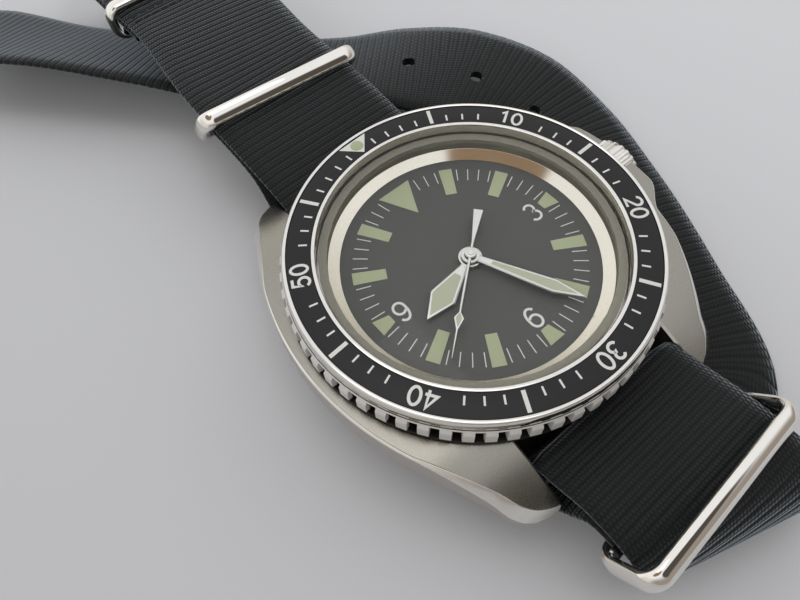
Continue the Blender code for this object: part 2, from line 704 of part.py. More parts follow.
def build_crystal():
    """Crystal with a plug into the neck, its seal and the rehaut ring."""
    flange = NECK_RADIUS - SEAT_GAP
    edge = circle(flange, SIDES)
    plug = circle(PLUG_RADIUS, SIDES)
    bevel = circle(flange - CRYSTAL_CHAMFER, SIDES)
    crown_ring = circle(flange * 0.5, SIDES)
    levels = [(PLUG_BOTTOM, CRYSTAL_BOTTOM, [plug]), (CRYSTAL_BOTTOM, CRYSTAL_TOP - CRYSTAL_CHAMFER, [edge]),
              (CRYSTAL_TOP - CRYSTAL_CHAMFER, CRYSTAL_TOP, [edge], [bevel]),
              (CRYSTAL_TOP, CRYSTAL_TOP + CRYSTAL_DOME, [bevel], [crown_ring])]
    add("crystal", stack(levels), "crystal_glass")
    inner = circle(PLUG_RADIUS + SEAT_GAP, SIDES)
    seat_z = NECK_TOP + SEAT_GAP
    seal = stack([(PLUG_BOTTOM, seat_z, [circle(CAVITY_RADIUS - SEAT_GAP, SIDES), inner]),
                  (seat_z, CRYSTAL_BOTTOM - SEAT_GAP, [circle(flange, SIDES), inner])])
    add("crystal_gasket", seal, "crystal_seal")
    outer = CAVITY_RADIUS - RUN_GAP
    add("rehaut_ring", turned([(PLUG_RADIUS, REHAUT_TOP), (outer, REHAUT_TOP), (outer, REHAUT_BOTTOM),
                               (DIAL_OPENING, REHAUT_BOTTOM)], SIDES), "polished_steel")
    plate = [circle(outer, SIDES), circle(DIAL_BORE, SMALL)]
    add("dial", stack([(DIAL_BOTTOM, DIAL_TOP, plate)]), "dial_black")


CANNON_RADIUS = 0.55
HOUR_PIPE = 0.85
SECONDS_ARBOR = 0.2


def blade(points):
    """Outline mirrored about the hand's own length, from (along, half width) points."""
    return [(w, y) for y, w in points] + [(-w, y) for y, w in points[::-1] if w > 0.0]


def build_hands():
    """Hour, minute and seconds hands, each set at its angle on the watch axis."""
    hub = 1.55
    hour = blade([(-hub, 0.35), (-0.9, 1.3), (0.9, 1.3), (1.5, 0.45), (HOUR_WIDEST - 0.1, HOUR_WIDTH / 2),
                  (HOUR_WIDEST + 0.1, HOUR_WIDTH / 2), (HOUR_LENGTH, 0.0)])
    minute = blade([(-hub, 0.3), (-0.8, 1.1), (0.8, 1.1), (1.3, 0.4), (MINUTE_WIDEST, MINUTE_WIDTH / 2),
                    (MINUTE_LENGTH, 0.0)])
    half_tail = SECONDS_TAIL_WIDTH / 2
    seconds = blade([(-SECONDS_TAIL, half_tail), (-1.4, 0.14), (-0.55, 0.7), (0.55, 0.7), (0.95, 0.15),
                     (DIAMOND_AT - 0.7, 0.13), (DIAMOND_AT, DIAMOND_WIDTH / 2), (DIAMOND_AT + 1.3, 0.13),
                     (SECONDS_LENGTH, 0.06)])
    for name, outline, bore, z, angle in (
            ("hour_hand", hour, HOUR_PIPE, HOUR_HAND_Z, HOUR_ANGLE),
            ("minute_hand", minute, CANNON_RADIUS, MINUTE_HAND_Z, MINUTE_ANGLE),
            ("seconds_hand", seconds, SECONDS_ARBOR, SECONDS_HAND_Z, SECONDS_ANGLE)):
        hole = circle(bore + SEAT_GAP, 16)
        hand = stack([(z, z + HAND_THICKNESS, [outline, hole])])
        add(name, hand, "hand_steel", rotation=(0.0, 0.0, -angle))


# Crown and winding stem

def build_crown():
    """Fluted crown, its seal, the tube in the case and the stem."""
    at = (0.0, 0.0, CROWN_Z)
    flutes = notched(CROWN_RADIUS, CROWN_RADIUS - CROWN_FLUTE_DEPTH, CROWN_FLUTES, 0.5)
    collar = circle(CROWN_RADIUS - CROWN_FLUTE_DEPTH - RUN_GAP, 36)
    cup = circle(CROWN_CUP_RADIUS, SMALL)
    cap = circle(CROWN_RADIUS - CROWN_FLUTE_DEPTH - 2 * RUN_GAP, 36)
    dome = circle(CROWN_RADIUS * 0.6, 36)
    start = CROWN_INNER_X + 0.5
    end = CROWN_OUTER_X - 0.6
    floor = CROWN_INNER_X + CROWN_CUP_DEPTH
    levels = [(CROWN_INNER_X, start, [collar, cup]), (start, floor, [flutes, cup]), (floor, end, [flutes]),
              (end, CROWN_OUTER_X, [cap], [dome])]
    add("crown", stack(levels), "polished_steel", at, ALONG_X)
    tube_end = CROWN_INNER_X + TUBE_REACH
    tube = [circle(TUBE_RADIUS, SMALL), circle(TUBE_WALL, SMALL)]
    add("crown_tube", stack([(CAVITY_RADIUS + RUN_GAP, tube_end, tube)]), "polished_steel", at, ALONG_X)
    seal = [circle(CROWN_CUP_RADIUS - SEAT_GAP, SMALL), circle(TUBE_RADIUS + SEAT_GAP, SMALL)]
    seal_start = CROWN_INNER_X + RUN_GAP
    gasket = stack([(seal_start, seal_start + CROWN_SEAL_LENGTH, seal)])
    add("crown_gasket", gasket, "seal_rubber", at, ALONG_X)
    stem = [circle(STEM_RADIUS, 12)]
    add("winding_stem", stack([(STEM_INNER_X, floor - SEAT_GAP, stem)]), "movement_nickel", at, ALONG_X)


# Movement

def pair(module, teeth_a, teeth_b):
    """Distance between two wheels in mesh."""
    return module * (teeth_a + teeth_b) / 2


CENTRE = (0.0, 0.0)
BARREL_AT = polar(BARREL_OFFSET, BARREL_BEARING)
BARREL_DISTANCE = pair(BARREL_MODULE, BARREL_TEETH, SECOND_PINION_TEETH)
SECOND_AT = meet(BARREL_AT, BARREL_DISTANCE, CENTRE, SECOND_OFFSET, -1)
THIRD_AT = meet(CENTRE, pair(THIRD_MODULE, THIRD_TEETH, FOURTH_PINION_TEETH),
                SECOND_AT, pair(SECOND_MODULE, SECOND_TEETH, THIRD_PINION_TEETH), 1)
ESCAPE_AT = polar(pair(FOURTH_MODULE, FOURTH_TEETH, ESCAPE_PINION_TEETH), ESCAPE_BEARING)
PALLET_AT = polar(PALLET_DISTANCE, LEVER_BEARING, ESCAPE_AT)
BALANCE_AT = polar(FORK_LENGTH, LEVER_BEARING, PALLET_AT)
MOTION_DISTANCE = pair(CANNON_MODULE, CANNON_TEETH, MINUTE_WHEEL_TEETH)
MINUTE_WHEEL_AT = meet(CENTRE, MOTION_DISTANCE, SECOND_AT, MOTION_DISTANCE, -1)
HOUR_MODULE = 2 * MOTION_DISTANCE / (MINUTE_PINION_TEETH + HOUR_TEETH)
RATCHET_DISTANCE = pair(RATCHET_MODULE, RATCHET_TEETH, CROWN_WHEEL_TEETH)
CROWN_WHEEL_AT = (BARREL_AT[0] + math.sqrt(max(RATCHET_DISTANCE ** 2 - BARREL_AT[1] ** 2, 0.0)), 0.0)
REVERSER_AT = polar(pair(ROTOR_MODULE, ROTOR_TEETH, REVERSER_TEETH), REVERSER_BEARING)
COCK_FOOT = polar(11.0, 285.0)
BARREL_SCREW = polar(10.9, 104.0)
TRAIN_SCREW = polar(10.6, 158.0)

# Heights of the wheels in the train space
SECOND_WHEEL_Z = BRIDGE_TOP + SEAT_GAP
DRUM_BOTTOM = SECOND_WHEEL_Z + WHEEL_THICKNESS + RUN_GAP
DRUM_TOP = PLATE_BOTTOM - RUN_GAP
BARREL_TOOTH_Z = DRUM_TOP - 0.35
FOURTH_WHEEL_Z = SECOND_WHEEL_Z + WHEEL_THICKNESS + 0.25
THIRD_WHEEL_Z = FOURTH_WHEEL_Z + WHEEL_THICKNESS + 0.25
ESCAPE_Z = THIRD_WHEEL_Z + WHEEL_THICKNESS + RUN_GAP
BALANCE_Z = SECOND_WHEEL_Z + 0.3
PIVOT_LOW = BRIDGE_BOTTOM + SEAT_GAP
PIVOT_HIGH = PLATE_BOTTOM + PLATE_THICKNESS / 2


def mesh_turn(teeth, wheel_at, pinion_at, wheel_teeth=1, wheel_turn=None):
    """Turn of a pinion that has a gap where the wheel that drives it has a tooth."""
    line = bearing(wheel_at, pinion_at)
    late = 0.0 if wheel_turn is None else (line - wheel_turn) * wheel_teeth / 360.0
    return line + 180.0 + (late + 0.5) * 360.0 / teeth


def arbor(name, at, look, *steps):
    """Turning piece: pivots at both ends and an arbor between, with wheels given as (bottom, top, loop)."""
    shaft = circle(ARBOR, TINY)
    pin = circle(PIVOT, TINY)
    levels = [(PIVOT_LOW, BRIDGE_TOP + SEAT_GAP / 2, [pin])]
    height = BRIDGE_TOP + SEAT_GAP / 2
    for bottom, top, loop in steps:
        if bottom > height:
            levels.append((height, bottom, [shaft]))
        levels.append((bottom, top, [loop]))
        height = top
    end = PLATE_BOTTOM - SEAT_GAP / 2
    if end > height:
        levels.append((height, end, [shaft]))
        height = end
    levels.append((height, PIVOT_HIGH - SEAT_GAP, [pin]))
    return add(name, stack(levels), look, (*at, 0.0))


def build_barrel():
    """Barrel with its spring, cover, arbor and ratchet wheel."""
    at = (*BARREL_AT, 0.0)
    bore = circle(0.65, SMALL)
    teeth = gear(BARREL_TEETH, BARREL_MODULE, bearing(BARREL_AT, SECOND_AT))
    outer = BARREL_MODULE * (BARREL_TEETH / 2 - 1.1) - 0.1
    inner = outer - 0.35
    wall = [circle(outer, 24), circle(inner, 24)]
    drum = [(DRUM_BOTTOM, BARREL_TOOTH_Z, wall), (BARREL_TOOTH_Z, DRUM_TOP, [teeth, bore])]
    add("barrel_drum", stack(drum),
        "gilt_brass", at)
    cover_top = DRUM_BOTTOM + 0.2
    cover = [circle(inner - SEAT_GAP, 24), bore]
    add("barrel_cover", stack([(DRUM_BOTTOM, cover_top, cover)]), "gilt_brass", at)
    coil = spiral(0.95, inner - 0.25, 5, 0.12, 12)
    add("mainspring", stack([(cover_top + RUN_GAP, BARREL_TOOTH_Z - RUN_GAP, [coil])]), "blued_spring", at)
    square = circle(0.4, TINY)
    core = circle(0.58, 12)
    levels = [(AUTO_TOP + SEAT_GAP, DRUM_BOTTOM - SEAT_GAP, [square]),
              (DRUM_BOTTOM - SEAT_GAP, PLATE_BOTTOM - SEAT_GAP, [core]),
              (PLATE_BOTTOM - SEAT_GAP, PIVOT_HIGH - SEAT_GAP, [square])]
    add("barrel_arbor", stack(levels), "movement_nickel", at)
    ratchet = gear(RATCHET_TEETH, RATCHET_MODULE, bearing(BARREL_AT, CROWN_WHEEL_AT))
    hole = circle(0.4 + SEAT_GAP, TINY)
    add("ratchet_wheel", stack([(RATCHET_BOTTOM, RATCHET_TOP, [ratchet, hole])]), "movement_nickel", at)


def build_train():
    """Second, third, fourth and escape wheels."""
    second = gear(SECOND_TEETH, SECOND_MODULE, bearing(SECOND_AT, THIRD_AT))
    second_pinion = gear(SECOND_PINION_TEETH, BARREL_MODULE,
                         mesh_turn(SECOND_PINION_TEETH, BARREL_AT, SECOND_AT))
    drive = gear(CANNON_TEETH, CANNON_MODULE, mesh_turn(CANNON_TEETH, MINUTE_WHEEL_AT, SECOND_AT,
                                                        MINUTE_WHEEL_TEETH, bearing(MINUTE_WHEEL_AT, CENTRE)))
    shaft = circle(ARBOR, TINY)
    work_low, work_high = motion_heights()
    levels = [(PIVOT_LOW, BRIDGE_TOP + SEAT_GAP / 2, [circle(PIVOT, TINY)]),
              (BRIDGE_TOP + SEAT_GAP / 2, SECOND_WHEEL_Z, [shaft]),
              (SECOND_WHEEL_Z, SECOND_WHEEL_Z + WHEEL_THICKNESS, [second]),
              (SECOND_WHEEL_Z + WHEEL_THICKNESS, BARREL_TOOTH_Z, [shaft]),
              (BARREL_TOOTH_Z, DRUM_TOP, [second_pinion]), (DRUM_TOP, work_low, [shaft]),
              (work_low, work_high, [drive])]
    add("second_wheel", stack(levels), "gilt_brass", (*SECOND_AT, 0.0))
    third = gear(THIRD_TEETH, THIRD_MODULE, bearing(THIRD_AT, CENTRE))
    third_pinion = gear(THIRD_PINION_TEETH, SECOND_MODULE, mesh_turn(THIRD_PINION_TEETH, SECOND_AT, THIRD_AT))
    arbor("third_wheel", THIRD_AT, "gilt_brass",
          (SECOND_WHEEL_Z - SEAT_GAP / 4, SECOND_WHEEL_Z + WHEEL_THICKNESS + SEAT_GAP, third_pinion),
          (THIRD_WHEEL_Z, THIRD_WHEEL_Z + WHEEL_THICKNESS, third))
    fourth = gear(FOURTH_TEETH, FOURTH_MODULE, bearing(CENTRE, ESCAPE_AT))
    fourth_pinion = gear(FOURTH_PINION_TEETH, THIRD_MODULE,
                         mesh_turn(FOURTH_PINION_TEETH, THIRD_AT, CENTRE))
    pin = circle(SECONDS_ARBOR, TINY)
    levels = [(PIVOT_LOW, BRIDGE_TOP + SEAT_GAP / 2, [circle(PIVOT, TINY)]),
              (BRIDGE_TOP + SEAT_GAP / 2, FOURTH_WHEEL_Z, [shaft]),
              (FOURTH_WHEEL_Z, FOURTH_WHEEL_Z + WHEEL_THICKNESS, [fourth]),
              (FOURTH_WHEEL_Z + WHEEL_THICKNESS, THIRD_WHEEL_Z - SEAT_GAP, [shaft]),
              (THIRD_WHEEL_Z - SEAT_GAP, THIRD_WHEEL_Z + WHEEL_THICKNESS + SEAT_GAP, [fourth_pinion]),
              (THIRD_WHEEL_Z + WHEEL_THICKNESS + SEAT_GAP, PLATE_BOTTOM - SEAT_GAP, [shaft]),
              (PLATE_BOTTOM - SEAT_GAP, SECONDS_HAND_Z + HAND_THICKNESS, [pin])]
    add("fourth_wheel", stack(levels), "gilt_brass")
    pitch = 360.0 / ESCAPE_TEETH
    club = []
    start = bearing(ESCAPE_AT, PALLET_AT)
    for i in range(ESCAPE_TEETH):
        middle = start + i * pitch
        club += [polar(ESCAPE_RADIUS - 0.45, middle - 4.0), polar(ESCAPE_RADIUS, middle + 1.0),
                 polar(ESCAPE_RADIUS, middle + 4.0), polar(ESCAPE_RADIUS - 0.45, middle + 3.0)]
    escape_pinion = gear(ESCAPE_PINION_TEETH, FOURTH_MODULE, mesh_turn(ESCAPE_PINION_TEETH, CENTRE, ESCAPE_AT))
    arbor("escape_wheel", ESCAPE_AT, "gilt_brass",
          (FOURTH_WHEEL_Z - SEAT_GAP, FOURTH_WHEEL_Z + WHEEL_THICKNESS + SEAT_GAP, escape_pinion),
          (ESCAPE_Z, ESCAPE_Z + WHEEL_THICKNESS, club))


def build_escapement():
    """Pallet fork, balance wheel with its hairspring, and the balance cock."""
    span = 33.0
    stone = ESCAPE_RADIUS + 0.12
    towards = LEVER_BEARING + 180.0
    entry = polar(stone, LEVER_BEARING + span)
    leave = polar(stone, LEVER_BEARING - span)
    shift = (ESCAPE_AT[0] - PALLET_AT[0], ESCAPE_AT[1] - PALLET_AT[1])
    entry = (entry[0] + shift[0], entry[1] + shift[1])
    leave = (leave[0] + shift[0], leave[1] + shift[1])
    notch = polar(FORK_LENGTH - 0.75, LEVER_BEARING)
    left = polar(0.3, LEVER_BEARING + 90.0)
    right = (-left[0], -left[1])
    back = polar(0.28, towards)
    outline = [polar(0.22, LEVER_BEARING + 90.0, notch), polar(0.05, LEVER_BEARING + 90.0, notch),
               polar(0.3, towards, notch), polar(0.05, LEVER_BEARING - 90.0, notch),
               polar(0.22, LEVER_BEARING - 90.0, notch), right, polar(0.22, LEVER_BEARING, leave), leave,
               back, entry, polar(0.22, LEVER_BEARING, entry), left]
    arbor("pallet_fork", PALLET_AT, "movement_nickel", (ESCAPE_Z, ESCAPE_Z + WHEEL_THICKNESS, outline))
    rim = circle(BALANCE_RADIUS, 40)
    windows = [ring_sector(0.9, BALANCE_RADIUS - 0.55, a, a + 96.0, 8) for a in (12.0, 132.0, 252.0)]
    rim_top = BALANCE_Z + 0.4
    roller = circle(0.55, 12)
    shaft = circle(ARBOR, TINY)
    pin = circle(PIVOT, TINY)
    roller_z = ESCAPE_Z - RUN_GAP - WHEEL_THICKNESS
    levels = [(PIVOT_LOW, BRIDGE_TOP + SEAT_GAP / 2, [pin]), (BRIDGE_TOP + SEAT_GAP / 2, BALANCE_Z, [shaft]),
              (BALANCE_Z, rim_top, [rim] + windows), (rim_top, roller_z, [shaft]),
              (roller_z, roller_z + WHEEL_THICKNESS, [roller]),
              (roller_z + WHEEL_THICKNESS, PLATE_BOTTOM - SEAT_GAP, [shaft]),
              (PLATE_BOTTOM - SEAT_GAP, PIVOT_HIGH - SEAT_GAP, [pin])]
    add("balance_wheel", stack(levels), "gilt_brass", (*BALANCE_AT, 0.0))
    coil = spiral(ARBOR + 0.15, 2.6, 5, 0.07, 12)
    add("hairspring", stack([(BRIDGE_TOP + SEAT_GAP, BALANCE_Z - SEAT_GAP, [coil])]), "blued_spring",
        (*BALANCE_AT, 0.0))
    outline = hull([(BALANCE_AT, 1.3), (COCK_FOOT, 1.4)])
    build_bridge("balance_cock", outline, [BALANCE_AT], COCK_FOOT, [])


def build_bridge(name, outline, pivots, screw_at, through, studs=()):
    """Bridge plate with pivot holes, a post up to the main plate, and its screw.

    through lists (place, radius) of larger holes, and studs (place, radius) of pins below the plate.
    """
    holes = [circle(PIVOT + SEAT_GAP, TINY, at) for at in pivots]
    holes += [circle(radius, SMALL, at) for at, radius in through]
    screw_hole = circle(SCREW_RADIUS + SEAT_GAP, TINY, screw_at)
    post = circle(POST_RADIUS, 16, screw_at)
    pins = [circle(radius, 10, at) for at, radius in studs]
    levels = [(BRIDGE_BOTTOM, BRIDGE_TOP, [outline, screw_hole] + holes),
              (BRIDGE_TOP, PLATE_BOTTOM - SEAT_GAP, [post, screw_hole])]
    if pins:
        levels.insert(0, (RATCHET_BOTTOM, BRIDGE_BOTTOM, pins))
    add(name, stack(levels), "movement_nickel")
    head_top = BRIDGE_BOTTOM - SEAT_GAP
    levels = [(head_top - SCREW_HEAD, head_top, [circle(SCREW_HEAD_RADIUS, 12)]),
              (head_top, PIVOT_HIGH - SEAT_GAP, [circle(SCREW_RADIUS, TINY)])]
    add(name + "_screw", stack(levels), "blued_spring", (*screw_at, 0.0))


RATCHET_TIP = RATCHET_MODULE * (RATCHET_TEETH / 2 + 0.8)
CLICK_AT = polar(RATCHET_TIP + 1.4, 150.0, BARREL_AT)


def build_bridges():
    """Barrel bridge, train bridge, winding wheels and click."""
    x, y = CROWN_WHEEL_AT
    outline = arc(12.5, 14.0, 118.0, 14) + arc(3.9, 118.0, 40.0, 8)
    outline += arc(0.9, 180.0, 360.0, 7, CROWN_WHEEL_AT) + [(x + 1.2, y + 1.6)]
    build_bridge("barrel_bridge", outline, [SECOND_AT], BARREL_SCREW, [(BARREL_AT, 0.45)],
                 [(CROWN_WHEEL_AT, 0.5), (CLICK_AT, 0.25)])
    outline = arc(12.5, 128.0, 192.0, 10) + arc(4.3, 215.0, 262.0, 6) + arc(1.4, 300.0, 460.0, 8)
    outline.append(polar(3.4, 128.0))
    build_bridge("train_bridge", outline, [CENTRE, THIRD_AT, ESCAPE_AT], TRAIN_SCREW, [])
    wheel = gear(CROWN_WHEEL_TEETH, RATCHET_MODULE,
                 mesh_turn(CROWN_WHEEL_TEETH, BARREL_AT, CROWN_WHEEL_AT))
    loops = [wheel, circle(0.5 + SEAT_GAP, 10)]
    crown_wheel = stack([(RATCHET_BOTTOM, RATCHET_TOP, loops)])
    add("crown_wheel", crown_wheel, "movement_nickel", (*CROWN_WHEEL_AT, 0.0))
    tip = polar(RATCHET_TIP + 0.3, 134.0, BARREL_AT)
    nose = (tip[0] - CLICK_AT[0], tip[1] - CLICK_AT[1])
    click = [hull([(CENTRE, 0.5), (nose, 0.15)], 10), circle(0.25 + SEAT_GAP, TINY)]
    add("ratchet_click", stack([(RATCHET_BOTTOM, RATCHET_TOP, click)]), "blued_spring", (*CLICK_AT, 0.0))
    pinion = [gear(WINDING_TEETH, WINDING_MODULE, 0.0), circle(STEM_RADIUS + SEAT_GAP, 12)]
    start = CROWN_WHEEL_AT[0] + RATCHET_MODULE * CROWN_WHEEL_TEETH / 2 - 1.05
    winding_pinion = stack([(start, start + 1.3, pinion)])
    add("winding_pinion", winding_pinion, "movement_nickel", (0.0, 0.0, CROWN_Z), ALONG_X)


def build_plate():
    """Main plate with its pivot holes and the stud of the minute wheel, and the ring that holds it."""
    small = [circle(PIVOT + SEAT_GAP, TINY, at) for at in (THIRD_AT, ESCAPE_AT, PALLET_AT, BALANCE_AT)]
    larger = [circle(ARBOR + SEAT_GAP, TINY, SECOND_AT), circle(SECONDS_ARBOR + SEAT_GAP, TINY)]
    larger.append(circle(0.4 + SEAT_GAP, TINY, BARREL_AT))
    screws = [circle(SCREW_RADIUS + SEAT_GAP, TINY, at) for at in (COCK_FOOT, BARREL_SCREW, TRAIN_SCREW)]
    stud = circle(0.3, 10, MINUTE_WHEEL_AT)
    levels = [(PLATE_BOTTOM, PLATE_TOP, [circle(MOVEMENT_RADIUS, SIDES)] + small + larger + screws),
              (PLATE_TOP, DIAL_BOTTOM - RUN_GAP, [stud])]
    add("main_plate", stack(levels), "movement_nickel")
    inner = MOVEMENT_RADIUS + SEAT_GAP
    ring = [circle(CAVITY_RADIUS - RUN_GAP, SIDES), circle(inner, SIDES)]
    holder = add("movement_ring", stack([(AUTO_BOTTOM, DIAL_BOTTOM - SEAT_GAP, ring)]), "movement_nickel")
    hole = stack([(MOVEMENT_RADIUS - 1.0, CAVITY_RADIUS + 1.0, [circle(STEM_RADIUS + RUN_GAP, 12)])])
    boolean(holder, cutter("stem_hole_guide", hole, (0.0, 0.0, CROWN_Z), ALONG_X))


def motion_heights():
    """Bottom and top of the wheels under the dial that carry the hour and minute hands."""
    return PLATE_TOP + SEAT_GAP, PLATE_TOP + SEAT_GAP + 0.27


def build_motion_work():
    """Cannon pinion, minute wheel and hour wheel."""
    low, high = motion_heights()
    bore = circle(SECONDS_ARBOR + RUN_GAP, 10)
    cannon = gear(CANNON_TEETH, CANNON_MODULE, mesh_turn(CANNON_TEETH, MINUTE_WHEEL_AT, CENTRE))
    pipe = circle(CANNON_RADIUS, 16)
    add("cannon_pinion", stack([(low, high + SEAT_GAP, [cannon, bore]),
                                (high + SEAT_GAP, MINUTE_HAND_Z + HAND_THICKNESS, [pipe, bore])]), "gilt_brass")
    wheel = gear(MINUTE_WHEEL_TEETH, CANNON_MODULE, bearing(MINUTE_WHEEL_AT, CENTRE))
    pinion = gear(MINUTE_PINION_TEETH, HOUR_MODULE, mesh_turn(MINUTE_PINION_TEETH, CENTRE, MINUTE_WHEEL_AT))
    hole = circle(0.3 + SEAT_GAP, 10)
    hour_low = high + 2 * SEAT_GAP
    hour_high = hour_low + 0.3
    add("minute_wheel", stack([(low, high, [wheel, hole]), (high, hour_high, [pinion, hole])]), "gilt_brass",
        (*MINUTE_WHEEL_AT, 0.0))
    hour = gear(HOUR_TEETH, HOUR_MODULE, bearing(CENTRE, MINUTE_WHEEL_AT))
    inner = circle(CANNON_RADIUS + SEAT_GAP, 16)
    outer = circle(HOUR_PIPE, 16)
    add("hour_wheel", stack([(hour_low, hour_high, [hour, inner]),
                             (hour_high, HOUR_HAND_Z + HAND_THICKNESS, [outer, inner])]), "gilt_brass")


def build_automatic():
    """Winding rotor, the bridge that carries it and the wheel that it drives."""
    half = 1.0
    sheet = [polar(1.9, -half)] + arc(ROTOR_RADIUS, -half, -180.0 + half, 25) + [polar(1.9, -180.0 + half)]
    sheet += arc(1.9, 170.0, 10.0, 10)
    weight = ring_sector(ROTOR_RADIUS - ROTOR_RIM, ROTOR_RADIUS - RUN_GAP,
                         -half - 2.0, -180.0 + half + 2.0, 23)
    spindle = circle(0.7, 14)
    pinion = gear(ROTOR_TEETH, ROTOR_MODULE, bearing(CENTRE, REVERSER_AT))
    screw_hole = circle(SCREW_RADIUS + SEAT_GAP, TINY)
    sheet_bottom = ROTOR_TOP - ROTOR_SHEET
    levels = [(ROTOR_BOTTOM, sheet_bottom, [weight]), (sheet_bottom, ROTOR_TOP, [sheet, screw_hole]),
              (ROTOR_TOP, RATCHET_BOTTOM, [spindle, screw_hole]), (RATCHET_BOTTOM, RATCHET_TOP, [pinion])]
    add("rotor", stack(levels), "movement_nickel")
    head = sheet_bottom - SEAT_GAP
    levels = [(head - SCREW_HEAD, head, [circle(SCREW_HEAD_RADIUS * 1.6, 12)]),
              (head, RATCHET_BOTTOM - SEAT_GAP, [circle(SCREW_RADIUS, TINY)])]
    add("rotor_screw", stack(levels), "blued_spring")
    posts = [polar(8.6, 140.0), polar(8.6, 112.0)]
    outline = hull([(CENTRE, 1.9), (REVERSER_AT, 1.0), (posts[0], 1.1), (posts[1], 1.1)])
    holes = [circle(0.7 + SEAT_GAP, 14), circle(PIVOT + SEAT_GAP, TINY, REVERSER_AT)]
    pillars = [circle(0.8, 12, at) for at in posts]
    add("automatic_bridge", stack([(AUTO_BOTTOM, AUTO_TOP, [outline] + holes),
                                   (AUTO_TOP, BRIDGE_BOTTOM - SEAT_GAP, pillars)]), "movement_nickel")
    wheel = gear(REVERSER_TEETH, ROTOR_MODULE, mesh_turn(REVERSER_TEETH, CENTRE, REVERSER_AT))
    pin = circle(PIVOT, TINY)
    levels = [(AUTO_BOTTOM, RATCHET_BOTTOM, [pin]), (RATCHET_BOTTOM, RATCHET_TOP, [wheel])]
    add("reversing_wheel", stack(levels),
        "gilt_brass", (*REVERSER_AT, 0.0))


# Strap

SIDEWAYS = Vector((1.0, 0.0, 0.0))


def smooth(knots, step):
    """Stations along a smooth curve through knots of (place, direction across the strap)."""
    ends = [knots[0]] + knots + [knots[-1]]
    stations = []
    for before, start, end, after in zip(ends, ends[1:], ends[2:], ends[3:]):
        count = max(round((end[0] - start[0]).length / step), 1)
        for i in range(count):
            t = i / count
            weights = (-t + 2 * t ** 2 - t ** 3, 2 - 5 * t ** 2 + 3 * t ** 3,
                       t + 4 * t ** 2 - 3 * t ** 3, -t ** 2 + t ** 3)
            mixed = [sum((knot[k] * w for knot, w in zip((before, start, end, after), weights)), Vector()) / 2
                     for k in range(2)]
            stations.append((mixed[0], mixed[1]))
    return stations + [knots[-1]]


def sway(y):
    """Sideways shift of the strap towards the buckle."""
    share = min(max((y - SWAY_START) / (SWAY_END - SWAY_START), 0.0), 1.0)
    return SWAY * share ** 2 * (3 - 2 * share)


def line_knots(points):
    """Knots along the watch axis, with the strap level across, from (y, z) points."""
    return [(Vector((sway(y), y, z)), SIDEWAYS) for y, z in points]


def wrap(y, z, radius, start, end, count):
    """Stations round a cross bar at (y, z)."""
    return line_knots([(y + dy, z + dz) for dy, dz in arc(radius, start, end, count)])


def strap_height(y):
    """Height of the strap's middle on the 12 o'clock side."""
    fall = max(y - KEEPER_MIDDLE_Y, 0.0) / (BUCKLE_Y - KEEPER_MIDDLE_Y)
    rise = min((y - BAR_Y) / (KEEPER_MIDDLE_Y - BAR_Y), 1.0)
    lift = (BAR_Z + BAR_WRAP) + (KEEPER_LEVEL - BAR_Z - BAR_WRAP) * rise * (2 - rise)
    return lift - (KEEPER_LEVEL - BUCKLE_Z - BUCKLE_WRAP) * fall ** 2


KEEPER_LEVEL = BAR_Z + BAR_WRAP + 1.5
BUCKLE_WRAP = BUCKLE_BAR_RADIUS + LAYER_GAP + STRAP_THICKNESS / 2
LAYER = STRAP_THICKNESS + LAYER_GAP
SEWN_GAP = LAYER + LAYER_GAP


def under_case(side):
    """Stations from the fixed bar down to the case back, on the 12 (1) or 6 o'clock (-1) side."""
    inner = BAR_Y - BAR_WRAP
    corner = BAND_RADIUS + STRAP_THICKNESS / 2
    low = STRAP_MID
    points = [(inner, BAR_Z), (inner, CASE_BOTTOM + 1.6), (corner + 0.2, CASE_BOTTOM + 0.3),
              (corner - 0.35, low + 0.85), (BACK_RADIUS + 0.75, low + 0.22), (BACK_RADIUS - 0.4, low)]
    return line_knots([(side * y, z) for y, z in points])


def fold_knots():
    """Half turn of the strap about a level axis at an angle to it, from the keeper down to the table.

    Its sections lie along the axis, so each is straight and longer than the strap is wide.
    """
    radius = (KEEPER_LEVEL - TAIL_MID) / 2
    turn = math.radians(FOLD_BEARING)
    axis = Vector((math.cos(turn), math.sin(turn), 0.0))
    out = Vector((math.sin(turn), -math.cos(turn), 0.0))
    up = Vector((0.0, 0.0, 1.0))
    start = Vector((0.0, FOLD_START_Y, KEEPER_LEVEL - radius))
    across = axis / math.cos(turn)
    knots = []
    for i in range(13):
        angle = math.pi * i / 12
        drift = -math.tan(turn) * radius * angle
        knots.append((start + axis * drift + radius * (math.sin(angle) * out + math.cos(angle) * up), across))
    leave = -math.sin(turn) * axis - math.cos(turn) * out
    level = math.cos(turn) * axis - math.sin(turn) * out
    knots.append((knots[-1][0] + 5.0 * leave, level))
    return knots


